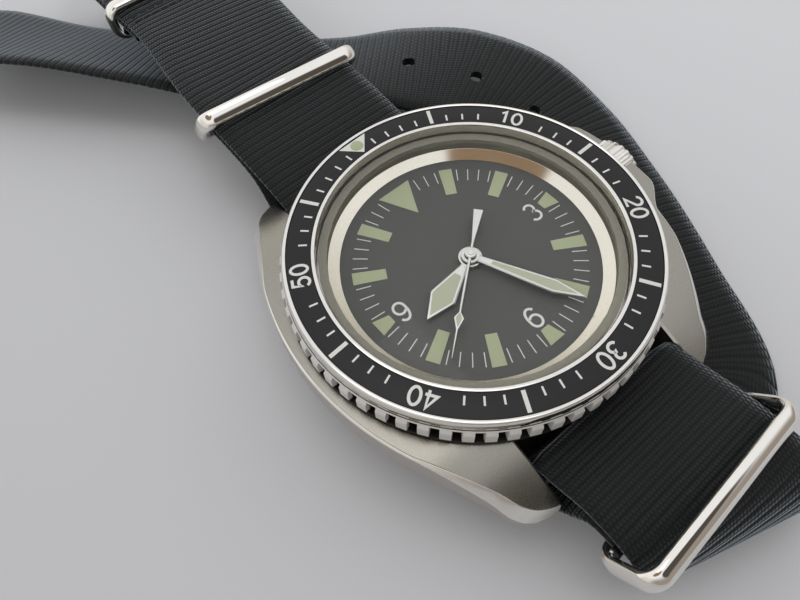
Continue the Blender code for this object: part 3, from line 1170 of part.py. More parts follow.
# Lie of the free end of the strap on the table: place of its middle and direction across it
TAIL = [((12.2, -24.6, TAIL_MID), (0.87, -0.49, 0.0)), ((19.6, -11.3, TAIL_MID), (0.90, -0.43, 0.0)),
        ((25.7, 2.6, TAIL_MID + 0.1), (0.95, -0.31, 0.0)), ((28.7, 12.0, 0.4), (0.99, -0.08, -0.05)),
        ((28.6, 19.8, 1.7), (0.97, 0.20, 0.02)), ((25.2, 27.8, 3.2), (0.87, 0.48, -0.03)),
        ((18.7, 35.3, 4.0), (0.80, 0.58, -0.16)), ((11.4, 42.2, 3.1), (0.76, 0.58, -0.24)),
        ((4.3, 49.5, 2.4), (0.74, 0.62, -0.26)), ((-6.1, 61.0, 3.4), (0.70, 0.61, -0.37)),
        ((-16.3, 72.7, 4.3), (0.68, 0.60, -0.42)), ((-24.0, 82.2, 4.4), (0.72, 0.62, -0.31)),
        ((-29.0, 88.0, 4.3), (0.74, 0.63, -0.24))]


def strap_stations():
    """Whole run of the main strap, from its sewn end at the buckle to the tip of its free end."""
    sewn = [STITCH_END + (BUCKLE_Y - 5.0 - STITCH_END) * i / 3 for i in range(4)]
    stations = line_knots([(y, strap_height(y) - SEWN_GAP) for y in sewn])
    stations += wrap(BUCKLE_Y, BUCKLE_Z, BUCKLE_WRAP, -115.0, 95.0, 13)
    run = [BUCKLE_Y - 5.0 - (BUCKLE_Y - 5.0 - BAR_Y - 1.5) * i / 14 for i in range(15)]
    stations += line_knots([(y, strap_height(y)) for y in run])
    stations += wrap(BAR_Y, BAR_Z, BAR_WRAP, 90.0, 165.0, 6)
    stations += smooth(under_case(1), 1.5)
    stations += smooth(under_case(-1)[::-1], 1.5)
    stations += wrap(-BAR_Y, BAR_Z, BAR_WRAP, 15.0, 90.0, 6)
    lead = STRAP_WIDTH / 2 * math.tan(math.radians(-FOLD_BEARING))
    rise = [(-BAR_Y - 2.6, BAR_Z + BAR_WRAP + 0.6), (FOLD_START_Y + lead + 0.5, KEEPER_LEVEL - 0.1)]
    stations += smooth(line_knots(rise), 2.0)
    fold = fold_knots()
    tail = [(Vector(place), Vector(across).normalized()) for place, across in TAIL]
    return stations + fold[:-1] + smooth([fold[-1]] + tail, 3.6)


def ribbon(stations, width_at):
    """Flat strip through stations, with its width given for each distance from the far end."""
    places = [place for place, across in stations]
    to_end = [0.0]
    for a, b in zip(places[:0:-1], places[-2::-1]):
        to_end.append(to_end[-1] + (a - b).length)
    to_end = to_end[::-1]
    sections = []
    for i, (place, across) in enumerate(stations):
        along = places[min(i + 1, len(places) - 1)] - places[max(i - 1, 0)]
        normal = across.cross(along).normalized()
        side = across * (width_at(to_end[i]) / 2)
        lift = normal * (STRAP_THICKNESS / 2)
        sections.append([place + side + lift, place - side + lift, place - side - lift, place + side - lift])
    return loft(sections), to_end


def tip_width(distance):
    """Width of the strap at a distance from its rounded tip."""
    if distance >= TIP_ROUND:
        return STRAP_WIDTH
    share = 1 - distance / TIP_ROUND
    return STRAP_WIDTH * (0.35 + 0.65 * math.sqrt(1 - share ** 2))


def build_strap():
    """Main strap with its holes and the slot for the tongue, and the shorter flap under the case."""
    stations = strap_stations()
    body, to_end = ribbon(stations, tip_width)
    strap = add("main_strap", body, "woven_nylon")
    for i in range(HOLE_COUNT):
        target = LAST_HOLE_TO_TIP + i * HOLE_PITCH
        k = min(range(1, len(to_end) - 1), key=lambda n: abs(to_end[n] - target))
        along = (stations[k + 1][0] - stations[k - 1][0]).normalized()
        normal = stations[k][1].cross(along).normalized()
        place = stations[k][0] + along * (to_end[k] - target)
        punch = stack([(-STRAP_THICKNESS, STRAP_THICKNESS, [circle(HOLE_RADIUS, 10)])])
        tool = cutter(f"hole_guide_{i + 1}", punch)
        tool.rotation_euler = normal.to_track_quat("Z", "Y").to_euler()
        tool.location = place * MM
        boolean(strap, tool)
    half = TONGUE_WIDTH / 2 + 2 * RUN_GAP
    reach = BUCKLE_WRAP + STRAP_THICKNESS
    left, right = sway(BUCKLE_Y) - half, sway(BUCKLE_Y) + half
    near, far = BUCKLE_Y - reach, BUCKLE_Y + reach
    slot = [(left, near), (right, near), (right, far), (left, far)]
    boolean(strap, cutter("slot_guide", stack([(BUCKLE_Z - 2 * reach, BUCKLE_Z + 2 * reach, [slot])])))
    far = KEEPER_MIDDLE_Y + 3.6
    flat = BACK_RADIUS - 0.6
    near = KEEPER_MIDDLE_Y - 4.4
    points = [(far, strap_height(far) - LAYER), (near, strap_height(near) - LAYER),
              (BAR_Y + 7.0, BAR_Z + 0.6), (BAR_Y + 3.6, BAR_Z - 3.6), (BAR_Y - 1.0, FLAP_MID + 0.35),
              (flat, FLAP_MID), (0.0, FLAP_MID), (-flat, FLAP_MID), (-BAR_Y - 0.4, FLAP_MID + 0.9),
              (-BAR_Y - 3.6, BAR_Z - 1.8), (-BAR_Y - 6.0, KEEPER_LEVEL - LAYER - 0.3),
              (FOLD_START_Y + 1.2, KEEPER_LEVEL - LAYER - 0.27)]
    flap, _ = ribbon(smooth(line_knots(points), 2.5), lambda distance: STRAP_WIDTH)
    add("strap_flap", flap, "woven_nylon")


def keeper_ring(height):
    """Ring of oval wire round a box with round corners, lying in the XZ plane."""
    half_x = STRAP_WIDTH / 2 + KEEPER_PLAY + KEEPER_THICKNESS / 2 - KEEPER_CORNER
    half_z = height / 2 - KEEPER_CORNER
    rings = []
    for x, z, start in ((half_x, half_z, 0.0), (-half_x, half_z, 90.0), (-half_x, -half_z, 180.0),
                        (half_x, -half_z, 270.0)):
        for i in range(5):
            turn = math.radians(start + 22.5 * i)
            ring = []
            for out, side in arc(1.0, 0.0, 315.0, 8):
                reach = KEEPER_CORNER + out * KEEPER_THICKNESS / 2
                ring.append((x + reach * math.cos(turn), side * KEEPER_BAR / 2, z + reach * math.sin(turn)))
            rings.append(ring)
    bm = bmesh.new()
    verts = [[bm.verts.new(p) for p in ring] for ring in rings]
    for low, high in zip(verts, verts[1:] + verts[:1]):
        for i in range(8):
            j = (i + 1) % 8
            bm.faces.new((low[i], low[j], high[j], high[i]))
    return bm


def build_keepers():
    """Metal rings round the strap's layers: two that lean and one by the buckle."""
    middle = KEEPER_LEVEL - LAYER / 2
    fall = strap_height(KEEPER_BUCKLE_Y + 2.0) - strap_height(KEEPER_BUCKLE_Y - 2.0)
    slope = math.degrees(math.atan2(fall, 4.0))
    upright = 2 * STRAP_THICKNESS + SEWN_GAP - STRAP_THICKNESS + KEEPER_THICKNESS + 0.5
    add("keeper_end", keeper_ring(KEEPER_HEIGHT), "polished_steel", (0.0, KEEPER_END_Y, middle),
        (KEEPER_LEAN, 0.0, KEEPER_END_SKEW))
    add("keeper_middle", keeper_ring(KEEPER_HEIGHT), "polished_steel", (0.0, KEEPER_MIDDLE_Y, middle),
        (KEEPER_LEAN, 0.0, KEEPER_SKEW))
    level = strap_height(KEEPER_BUCKLE_Y) - SEWN_GAP / 2
    place = (sway(KEEPER_BUCKLE_Y), KEEPER_BUCKLE_Y, level)
    add("keeper_buckle", keeper_ring(upright), "polished_steel", place,
        (slope, 0.0, 0.0))


def build_buckle():
    """Buckle frame, its bar and the tongue."""
    at = (sway(BUCKLE_Y), BUCKLE_Y, BUCKLE_Z)
    half_in = STRAP_WIDTH / 2 + KEEPER_PLAY
    half_out = half_in + BUCKLE_ARM
    rear = -BUCKLE_BAR_RADIUS - 0.7
    corner = 1.6
    outline = [(half_in, rear), (half_out, rear)] + arc(corner, 0.0, 90.0, 5,
                                                         (half_out - corner, BUCKLE_REACH - corner))
    outline += [(-x, y) for x, y in outline[:1:-1]] + [(-half_out, rear), (-half_in, rear)]
    window = BUCKLE_REACH - BUCKLE_FRONT
    outline += [(-half_in, window), (half_in, window)]
    low, high = -BUCKLE_HEIGHT / 2, BUCKLE_HEIGHT / 2
    frame = add("buckle_frame", stack([(low, high, [outline])]), "polished_steel", at)
    length = half_out - 0.5
    hole = stack([(-half_out - 1.0, half_out + 1.0, [circle(BUCKLE_BAR_RADIUS + SEAT_GAP, 16)])])
    boolean(frame, cutter("buckle_bar_guide", hole, at, ALONG_X))
    bar = stack([(-length, length, [circle(BUCKLE_BAR_RADIUS, 16)])])
    add("buckle_bar", bar, "polished_steel", at, ALONG_X)
    inner = BUCKLE_BAR_RADIUS + RUN_GAP
    outer = inner + TONGUE_THICKNESS
    rest = BUCKLE_HEIGHT / 2 + RUN_GAP
    nose = BUCKLE_REACH - 0.2
    half = TONGUE_WIDTH / 2
    tongue = stack([(-half, half, [tongue_outline(inner, outer, rest, nose), circle(inner, 16)])])
    add("buckle_tongue", tongue, "polished_steel", at, (0.0, -90.0, 0.0))


def tongue_outline(inner, outer, rest, nose):
    """Side outline of the tongue: a loop round the bar and a flat blade that rests on the frame."""
    top = max(rest + TONGUE_THICKNESS, outer)
    start = math.degrees(math.acos(min(rest / outer, 1.0)))
    return [(top, 0.0), (top, nose - 0.6), (rest + 0.25, nose), (rest, nose)] + arc(outer, start, 360.0, 20)[:-1]


def main():
    """Clear the scene and build every piece."""
    for item in list(bpy.data.objects):
        bpy.data.objects.remove(item)
    build_case()
    build_back()
    build_bars()
    build_bezel()
    build_crystal()
    build_hands()
    build_crown()
    build_barrel()
    build_train()
    build_escapement()
    build_bridges()
    build_plate()
    build_motion_work()
    build_automatic()
    build_strap()
    build_keepers()
    build_buckle()


main()
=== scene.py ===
"""Automatic dive watch on a woven strap: its looks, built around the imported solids.

Lengths in the classes are millimetres and angles degrees; meshes are made in metres. The watch axis is
Z, with 3 o'clock at +X and 12 o'clock at +Y.
"""
import json
import logging
import math
from dataclasses import dataclass, field
from enum import Enum, IntEnum
from functools import partial
from typing import Any, Callable, Iterable, Mapping, Optional, Sequence, Union

import bmesh
import bpy
import numpy as np
from mathutils import Matrix, Vector

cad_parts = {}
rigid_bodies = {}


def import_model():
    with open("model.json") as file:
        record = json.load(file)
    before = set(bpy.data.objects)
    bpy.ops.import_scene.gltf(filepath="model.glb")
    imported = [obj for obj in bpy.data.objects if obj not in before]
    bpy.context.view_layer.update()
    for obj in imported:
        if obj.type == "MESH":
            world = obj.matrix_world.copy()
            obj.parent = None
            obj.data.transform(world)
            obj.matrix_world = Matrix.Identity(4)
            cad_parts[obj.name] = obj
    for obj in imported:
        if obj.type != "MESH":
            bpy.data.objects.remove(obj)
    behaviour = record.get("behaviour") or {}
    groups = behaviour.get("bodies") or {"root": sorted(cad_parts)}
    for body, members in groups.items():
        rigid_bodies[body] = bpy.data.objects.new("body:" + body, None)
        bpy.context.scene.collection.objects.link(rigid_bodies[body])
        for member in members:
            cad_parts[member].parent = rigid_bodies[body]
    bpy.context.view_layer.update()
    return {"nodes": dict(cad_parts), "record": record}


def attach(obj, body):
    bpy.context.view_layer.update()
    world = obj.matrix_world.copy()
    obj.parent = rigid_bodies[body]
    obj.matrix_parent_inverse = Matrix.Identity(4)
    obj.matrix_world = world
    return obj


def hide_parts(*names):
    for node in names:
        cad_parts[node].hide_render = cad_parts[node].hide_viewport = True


for leftover in list(bpy.data.objects):
    bpy.data.objects.remove(leftover)
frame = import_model()

MM = 0.001  # metres
ROUND = 192  # points round a turned piece
MERGE = 2.0e-7  # metres within which points are one
SUNK = -0.01  # lower face of a mark, from its seat
PRINTED = 0.012  # upper face of a printed mark
FILLED = 0.07  # upper face of a luminous mark
CROWN_Z = 7.656  # height of the crown's axis
LOG = logging.getLogger("dive_watch")
Array = np.ndarray
Colour = tuple[float, float, float]


class Body(str, Enum):
    """Rigid bodies of the frame that carry the visible pieces."""

    WATCH = "watch"
    BEZEL = "bezel"
    CROWN = "crown"
    HOUR = "hour"
    MINUTE = "minute"
    SECONDS = "fourth"
    BUCKLE = "buckle"
    TONGUE = "tongue"


class Cut(str, Enum):
    """What a tool does to the piece that it meets."""

    REMOVE = "DIFFERENCE"
    JOIN = "UNION"


class RimLook(IntEnum):
    """Finishes of the bezel's ring, by their place in its list."""

    POLISHED = 0
    # dark steel as painted shade in the tab gaps, the groove under the rim and the skirt below the tabs
    DARK = 1
    TAB = 2


# Shader graphs

@dataclass(frozen=True)
class Wire:
    """Output of a node; arithmetic on it adds Math nodes to its graph."""

    graph: "Graph"
    socket: Any

    def __add__(self, other: "Number") -> "Wire":
        """Sum."""
        return self.graph.math("ADD", self, other)

    def __radd__(self, other: "Number") -> "Wire":
        """Sum with a number on the left."""
        return self.graph.math("ADD", other, self)

    def __sub__(self, other: "Number") -> "Wire":
        """Difference."""
        return self.graph.math("SUBTRACT", self, other)

    def __rsub__(self, other: "Number") -> "Wire":
        """Difference from a number on the left."""
        return self.graph.math("SUBTRACT", other, self)

    def __mul__(self, other: "Number") -> "Wire":
        """Product."""
        return self.graph.math("MULTIPLY", self, other)

    def __rmul__(self, other: "Number") -> "Wire":
        """Product with a number on the left."""
        return self.graph.math("MULTIPLY", other, self)

    def __pow__(self, other: "Number") -> "Wire":
        """Power."""
        return self.graph.math("POWER", self, other)

    def sine(self) -> "Wire":
        """Sine of an angle in radians."""
        return self.graph.math("SINE", self, 0.0)

    def size(self) -> "Wire":
        """Absolute value."""
        return self.graph.math("ABSOLUTE", self, 0.0)

    def floor(self) -> "Wire":
        """Whole part."""
        return self.graph.math("FLOOR", self, 0.0)

    def step(self, low: float, high: float) -> "Wire":
        """Smooth step from 0 at low to 1 at high."""
        return self.graph.node("ShaderNodeMapRange", {"interpolation_type": "SMOOTHSTEP"},
                               {"Value": self, "From Min": low, "From Max": high})


Number = Union[float, Wire]


class Graph:
    """Nodes of one tree."""

    def __init__(self, tree: bpy.types.NodeTree) -> None:
        """Start with an empty tree."""
        self.tree = tree
        tree.nodes.clear()

    def feed(self, socket: Any, value: Any) -> None:
        """Link a wire to a socket, or set the socket's own value.

        Args:
            socket: input of a node.
            value: wire, number, vector or colour.
        """
        if isinstance(value, Wire):
            self.tree.links.new(value.socket, socket)
        elif socket.type == "RGBA" and len(value) == 3:
            socket.default_value = (*value, 1.0)
        else:
            socket.default_value = value

    def node(self, kind: str, settings: Optional[Mapping[str, Any]] = None,
             inputs: Optional[Mapping[Any, Any]] = None, output: Any = 0) -> Wire:
        """Add any node.

        Args:
            kind: Blender's type name of the node.
            settings: properties, set before the sockets.
            inputs: values or wires by socket name or number.
            output: name or number of the output that is wanted.

        Returns:
            The wire of that output.
        """
        node = self.tree.nodes.new(kind)
        for key, value in (settings or {}).items():
            setattr(node, key, value)
        for key, value in (inputs or {}).items():
            self.feed(node.inputs[key], value)
        return Wire(self, node.outputs[output])

    def math(self, operation: str, a: Number, b: Number) -> Wire:
        """Math node on two numbers."""
        return self.node("ShaderNodeMath", {"operation": operation}, {0: a, 1: b})

    def mix(self, a: Union[Colour, Wire], b: Union[Colour, Wire], share: Number) -> Wire:
        """Colour between two, by a share from 0 to 1."""
        return self.node("ShaderNodeMix", {"data_type": "RGBA"}, {0: share, 6: a, 7: b}, 2)

    def part(self, vector: Wire, axis: str) -> Wire:
        """One part of a vector, by its axis letter."""
        return self.node("ShaderNodeSeparateXYZ", None, {0: vector}, axis)

    def noise(self, vector: Wire, pitch: Union[float, Sequence[float]], detail: float = 3.0) -> Wire:
        """Add a noise texture.

        Args:
            vector: places in metres.
            pitch: size of the lumps in millimetres, the same along each axis or one for each.
            detail: layers of finer noise.

        Returns:
            The noise, which stays about 0.5.
        """
        sizes = [pitch] * 3 if isinstance(pitch, (int, float)) else list(pitch)
        scaled = self.node("ShaderNodeMapping", None,
                           {"Vector": vector, "Scale": [1.0 / (s * MM) for s in sizes]})
        return self.node("ShaderNodeTexNoise", None, {"Vector": scaled, "Scale": 1.0, "Detail": detail})


class Surface(Graph):
    """Material with one Principled shader."""

    def __init__(self, name: str) -> None:
        """Make the material and its shader.

        Args:
            name: name of the material.
        """
        self.material = bpy.data.materials.new(name)
        self.material.use_nodes = True
        super().__init__(self.material.node_tree)
        self.shader = self.tree.nodes.new("ShaderNodeBsdfPrincipled")
        end = self.tree.nodes.new("ShaderNodeOutputMaterial")
        self.tree.links.new(self.shader.outputs[0], end.inputs[0])

    def set(self, **values: Any) -> None:
        """Feed the shader's sockets; an underscore in a name stands for a space."""
        for key, value in values.items():
            self.feed(self.shader.inputs[key.replace("_", " ")], value)

    def place(self) -> Wire:
        """Object coordinates."""
        return self.node("ShaderNodeTexCoord", output="Object")

    def bump(self, height: Number, depth: float) -> None:
        """Relief in the normal; depth in millimetres for a height of 1."""
        normal = self.node("ShaderNodeBump", None, {"Height": height, "Distance": depth * MM})
        self.feed(self.shader.inputs["Normal"], normal)


# Finishes

class Finish:
    """A look that makes its material once."""

    made: dict[str, bpy.types.Material] = {}
    name: str

    def material(self) -> bpy.types.Material:
        """Make the material on the first call, and give the same one later.

        Returns:
            The material of this finish.
        """
        if self.name not in Finish.made:
            surface = Surface(self.name)
            self.paint(surface)
            Finish.made[self.name] = surface.material
        return Finish.made[self.name]

    def paint(self, surface: Surface) -> None:
        """Fill the material's nodes."""
        raise NotImplementedError


@dataclass(frozen=True)
class Metal(Finish):
    """Metal with grain drawn out along one direction and faint handling marks."""

    name: str
    colour: Colour
    roughness: float
    grain: tuple[float, float, float] = (0.05, 1.6, 0.05)
    grain_depth: float = 0.0008
    grain_share: float = 0.06
    smudge: float = 0.04
    tone: float = 0.86
    mark_pitch: float = 2.6

    def paint(self, surface: Surface) -> None:
        """Put the grain into roughness, colour and relief, over broad marks.

        Args:
            surface: material to fill.
        """
        place = surface.place()
        lines = surface.noise(place, self.grain, 2.0)
        marks = surface.noise(place, self.mark_pitch, 3.0)
        rough = self.roughness + (lines - 0.5) * self.grain_share + (marks - 0.5) * self.smudge
        dim = tuple(c * self.tone for c in self.colour)
        surface.set(Base_Color=surface.mix(dim, self.colour, lines.step(0.3, 0.7)), Metallic=1.0,
                    Roughness=rough)
        surface.bump(lines, self.grain_depth)


@dataclass(frozen=True)
class Paint(Finish):
    """Even coat with a fine mottle."""

    name: str
    colour: Colour
    roughness: float
    mottle: float = 0.12
    pitch: float = 0.12
    relief: float = 0.002
    specular: float = 0.5
    coat: float = 0.0
    coat_roughness: float = 0.06
    swing: float = 0.12

    def paint(self, surface: Surface) -> None:
        """Put the mottle into colour, roughness and relief.

        Args:
            surface: material to fill.
        """
        specks = surface.noise(surface.place(), self.pitch, 3.0)
        low = tuple(c * (1.0 - self.mottle) for c in self.colour)
        high = tuple(min(c * (1.0 + self.mottle), 1.0) for c in self.colour)
        surface.set(Base_Color=surface.mix(low, high, specks.step(0.25, 0.75)),
                    Roughness=self.roughness + (specks - 0.5) * self.swing, Specular_IOR_Level=self.specular,
                    Coat_Weight=self.coat, Coat_Roughness=self.coat_roughness)
        surface.bump(specks, self.relief)


@dataclass(frozen=True)
class Glass(Finish):
    """Clear crystal: a faint mirror head on, a strong one at a slant, and otherwise see-through."""

    name: str
    head_on: float = 0.018
    tint: Colour = (0.96, 0.98, 0.97)
    roughness: float = 0.02
    smear: float = 0.03
    smear_pitch: float = 6.0

    def paint(self, surface: Surface) -> None:
        """Make a bright mirror whose opacity is its share head on, and the rest by the slant's fifth power.

        Args:
            surface: material to fill.
        """
        smear = surface.noise(surface.place(), self.smear_pitch, 2.0)
        slant = surface.node("ShaderNodeLayerWeight", None, {"Blend": 0.5}, "Facing")
        front = 1.0 - surface.node("ShaderNodeNewGeometry", output="Backfacing")
        surface.set(Base_Color=self.tint, Metallic=1.0, Roughness=self.roughness + smear * self.smear,
                    Alpha=(self.head_on + (1.0 - self.head_on) * slant ** 5.0) * front)


@dataclass(frozen=True)
class Tabletop(Finish):
    """Pale matt table top, its colour painted lighter to one side as a painted falloff of light."""

    name: str
    # dim and bright ends of the painted falloff of light
    dim: Colour
    bright: Colour
    toward: tuple[float, float] = (0.95, 0.3)
    reach: float = 0.12
    tooth_pitch: float = 0.5

    def paint(self, surface: Surface) -> None:
        """Colour by the distance in metres along one level direction, a painted falloff of light, with a
        faint tooth.

        Args:
            surface: material to fill.
        """
        place = surface.place()
        run = surface.part(place, "X") * self.toward[0] + surface.part(place, "Y") * self.toward[1]
        tooth = surface.noise(place, self.tooth_pitch, 3.0)
        # painted falloff of light: darker to one side of the table, lighter to the other
        share = (run + tooth * 0.004).step(-self.reach, self.reach)
        surface.set(Base_Color=surface.mix(self.dim, self.bright, share), Roughness=0.55 + 0.1 * tooth,
                    Specular_IOR_Level=0.2)
        surface.bump(tooth, 0.003)


@dataclass(frozen=True)
class Weave(Finish):
    """Ribbed nylon webbing, on a map of (across, along) in millimetres."""

    name: str
    # dark: the black nylon, also painted shade in the grooves; light: painted highlight on the bead tops
    dark: Colour
    light: Colour
    pitch: float
    yarn: float
    relief: float = 0.07
    specular: float = 0.26
    sheen: float = 0.95
    sheen_roughness: float = 0.32
    sheen_tint: Colour = (0.76, 0.86, 0.94)

    def paint(self, surface: Surface) -> None:
        """Cross each rib's two rows with yarns in turn: painted highlights on beads, painted shade in
        grooves.

        Args:
            surface: material to fill.
        """
        flat = surface.node("ShaderNodeUVMap", {"uv_map": "Weave"})
        across, along = surface.part(flat, "X"), surface.part(flat, "Y")
        row = along * (2.0 / self.pitch)
        bead = (across * (math.pi / self.yarn) + row.floor() * (math.pi / 2)).sine().size()
        ridge, rib = (row * math.pi).sine().size(), (row * (math.pi / 2)).sine().size()
        fuzz = surface.noise(surface.place(), 0.16, 4.0)
        broad = surface.noise(surface.place(), 5.0, 2.0)
        lift = (ridge ** 0.6) * (0.15 + 0.85 * bead) * (0.5 + 0.5 * rib)
        # tone: painted highlights on the bead tops and painted shade in the grooves, with random tone from
        # fuzz and broad
        tone = lift * (0.35 + 0.9 * fuzz) * (0.75 + 0.5 * broad)
        surface.set(Base_Color=surface.mix(self.dark, self.light, tone.step(0.12, 0.9)),
                    Roughness=0.48 + 0.3 * fuzz, Specular_IOR_Level=self.specular, Sheen_Weight=self.sheen,
                    Sheen_Roughness=self.sheen_roughness, Sheen_Tint=self.sheen_tint)
        surface.bump(lift + fuzz * 0.3, self.relief)


STEEL_BRUSHED = Metal("steel_brushed", (0.56, 0.53, 0.49), 0.30)
# satin grain is the lug tops' own; their colour, darker than the case steel, is painted shade for the dark
# room they reflect
STEEL_TOP_PAINTED_SHADE = Metal("steel_satin_top_painted_shade", (0.35, 0.335, 0.29), 0.27, (0.04, 2.2, 0.04), 0.0010, 0.08)
STEEL_POLISHED = Metal("steel_polished", (0.80, 0.78, 0.73), 0.10, (0.4, 3.0, 0.4), 0.0002, 0.02, 0.03, 0.95)
STEEL_MIRROR = Metal("steel_mirror", (0.86, 0.83, 0.77), 0.04, (1.2, 4.0, 1.2), 0.00005, 0.006, 0.01, 0.98)
STEEL_RING = Metal("steel_sloped_ring", (0.82, 0.78, 0.66), 0.10, (0.3, 0.3, 0.3), 0.0001, 0.03, 0.02, 0.97)
STEEL_WALL = Metal("steel_inner_wall", (0.46, 0.44, 0.35), 0.36, (0.3, 0.3, 0.05), 0.0003, 0.06, 0.04, 0.92)
STEEL_TAB = Paint("steel_blasted_tabs", (0.66, 0.65, 0.62), 0.42, 0.06, 0.08, 0.0003)
# near-black steel: painted shade for the bezel's tab gaps, the groove under the rim and the skirt below the
# tabs
STEEL_PAINTED_SHADE = Metal("steel_painted_shade_recess", (0.035, 0.033, 0.032), 0.5, (0.2, 0.2, 0.2), 0.0008)
STEEL_HAND = Metal("steel_hand", (0.70, 0.70, 0.66), 0.30, (0.3, 0.3, 0.3), 0.0002, 0.03, 0.04, 0.95)
NICKEL = Metal("nickel_striped", (0.66, 0.63, 0.58), 0.26, (0.9, 0.06, 0.9), 0.0006)
BRASS = Metal("brass_gilt", (0.76, 0.56, 0.26), 0.26, (0.06, 0.6, 0.06), 0.0006)
BLUED = Metal("steel_blued", (0.10, 0.15, 0.34), 0.22, (0.2, 0.2, 0.2), 0.0004)
INSERT_BLACK = Paint("insert_black", (0.011, 0.011, 0.012), 0.36, 0.25, 0.10, 0.0006, 0.30)
DIAL_BLACK = Paint("dial_black", (0.082, 0.082, 0.078), 0.72, 0.05, 0.6, 0.0)
PRINT_WHITE = Paint("print_white", (0.74, 0.74, 0.70), 0.5, 0.04, 0.08, 0.001)
LUME = Paint("lume_pale_green", (0.43, 0.475, 0.30), 0.75, 0.07, 0.09, 0.003, 0.3)
LUME_HAND = Paint("lume_hand", (0.50, 0.53, 0.39), 0.75, 0.06, 0.09, 0.003, 0.3)
RUBBER = Paint("rubber_black", (0.03, 0.03, 0.03), 0.62, 0.2, 0.15, 0.003)
SEAL_PALE = Paint("seal_nylon", (0.24, 0.23, 0.18), 0.5, 0.1, 0.2, 0.002)
CRYSTAL = Glass("crystal_glass")
NYLON = Weave("nylon_ribbed", (0.002, 0.0023, 0.0023), (0.015, 0.0175, 0.018), 1.05, 0.40)
THREAD = Paint("thread_black", (0.02, 0.022, 0.025), 0.8, 0.3, 0.08, 0.01)
# pale table whose colour carries a painted falloff of light
TABLE_PAINTED_FALLOFF = Tabletop("table_pale_painted_falloff", (0.55, 0.555, 0.57), (0.74, 0.755, 0.775))

SLOT_FINISH: dict[str, Finish] = {
    "brushed_steel": STEEL_BRUSHED, "polished_steel": STEEL_POLISHED, "black_insert": INSERT_BLACK,
    "lume": LUME, "crystal_glass": CRYSTAL, "crystal_seal": SEAL_PALE, "seal_rubber": RUBBER,
    "dial_black": DIAL_BLACK, "hand_steel": STEEL_HAND, "gilt_brass": BRASS, "movement_nickel": NICKEL,
    "blued_spring": BLUED, "woven_nylon": NYLON,
}


# Surfaces

@dataclass
class Shell:
    """Points and faces of one piece, gathered surface by surface."""

    points: list[Array] = field(default_factory=list)
    faces: list[tuple[int, ...]] = field(default_factory=list)
    looks: list[int] = field(default_factory=list)
    maps: list[Array] = field(default_factory=list)
    count: int = 0

    def put(self, points: Array, faces: Array, look: Union[int, Array] = 0,
            flat: Optional[Array] = None) -> None:
        """Add points and the faces between them.

        Args:
            points: (n, 3) places in millimetres.
            faces: (m, k) numbers of points.
            look: number of the finish on these faces, or one number a face.
            flat: (n, 2) map of each point.
        """
        self.points.append(points)
        self.maps.append(np.zeros((len(points), 2)) if flat is None else flat)
        self.faces += (faces + self.count).tolist()
        self.looks += np.broadcast_to(look, len(faces)).tolist()
        self.count += len(points)

    def grid(self, points: Array, rows_close: bool = False, cols_close: bool = True, caps: bool = False,
             look: Union[int, Array] = 0, flat: Optional[Array] = None) -> None:
        """Add a grid of points with a face between each four neighbours.

        Args:
            points: (rows, cols, 3) places.
            rows_close: True where the last row joins the first.
            cols_close: True where the last column joins the first.
            caps: True to close the first and last row with a face.
            look: finish number, or one for each column.
            flat: (rows, cols, 2) map.
        """
        rows, cols = points.shape[:2]
        number = np.arange(rows * cols).reshape(rows, cols)
        if rows_close:
            number = np.vstack([number, number[:1]])
        if cols_close:
            number = np.hstack([number, number[:, :1]])
        quads = np.stack([number[:-1, :-1], number[:-1, 1:], number[1:, 1:], number[1:, :-1]], -1)
        looks = np.broadcast_to(look, quads.shape[:2]).reshape(-1)
        start = self.count
        self.put(points.reshape(-1, 3), quads.reshape(-1, 4), looks,
                 None if flat is None else flat.reshape(-1, 2))
        if caps:
            first = looks[0] if len(looks) else 0
            self.faces += [list(range(start + cols - 1, start - 1, -1)),
                           list(range(start + (rows - 1) * cols, start + rows * cols))]
            self.looks += [int(first), int(first)]

    def prism(self, outline: Array, low: float, high: float, look: int = 0) -> None:
        """Add a straight prism on an outline of (n, 2) points."""
        rows = [np.column_stack([outline, np.full(len(outline), z)]) for z in (low, high)]
        self.grid(np.stack(rows), caps=True, look=look)

    def mesh(self, name: str) -> bpy.types.Mesh:
        """Make the mesh in metres, with doubles merged and normals outwards.

        Args:
            name: name of the mesh.

        Returns:
            The mesh, with its map.
        """
        mesh = bpy.data.meshes.new(name)
        mesh.from_pydata((np.vstack(self.points) * MM).tolist(), [], self.faces)
        mesh.polygons.foreach_set("material_index", self.looks)
        layer = mesh.uv_layers.new(name="Weave")
        corners = np.empty(len(mesh.loops), np.int32)
        mesh.loops.foreach_get("vertex_index", corners)
        layer.data.foreach_set("uv", np.vstack(self.maps)[corners].astype(np.float32).ravel())
        clean = bmesh.new()
        clean.from_mesh(mesh)
        bmesh.ops.remove_doubles(clean, verts=clean.verts, dist=MERGE)
        bmesh.ops.recalc_face_normals(clean, faces=clean.faces)
        clean.to_mesh(mesh)
        clean.free()
        return mesh


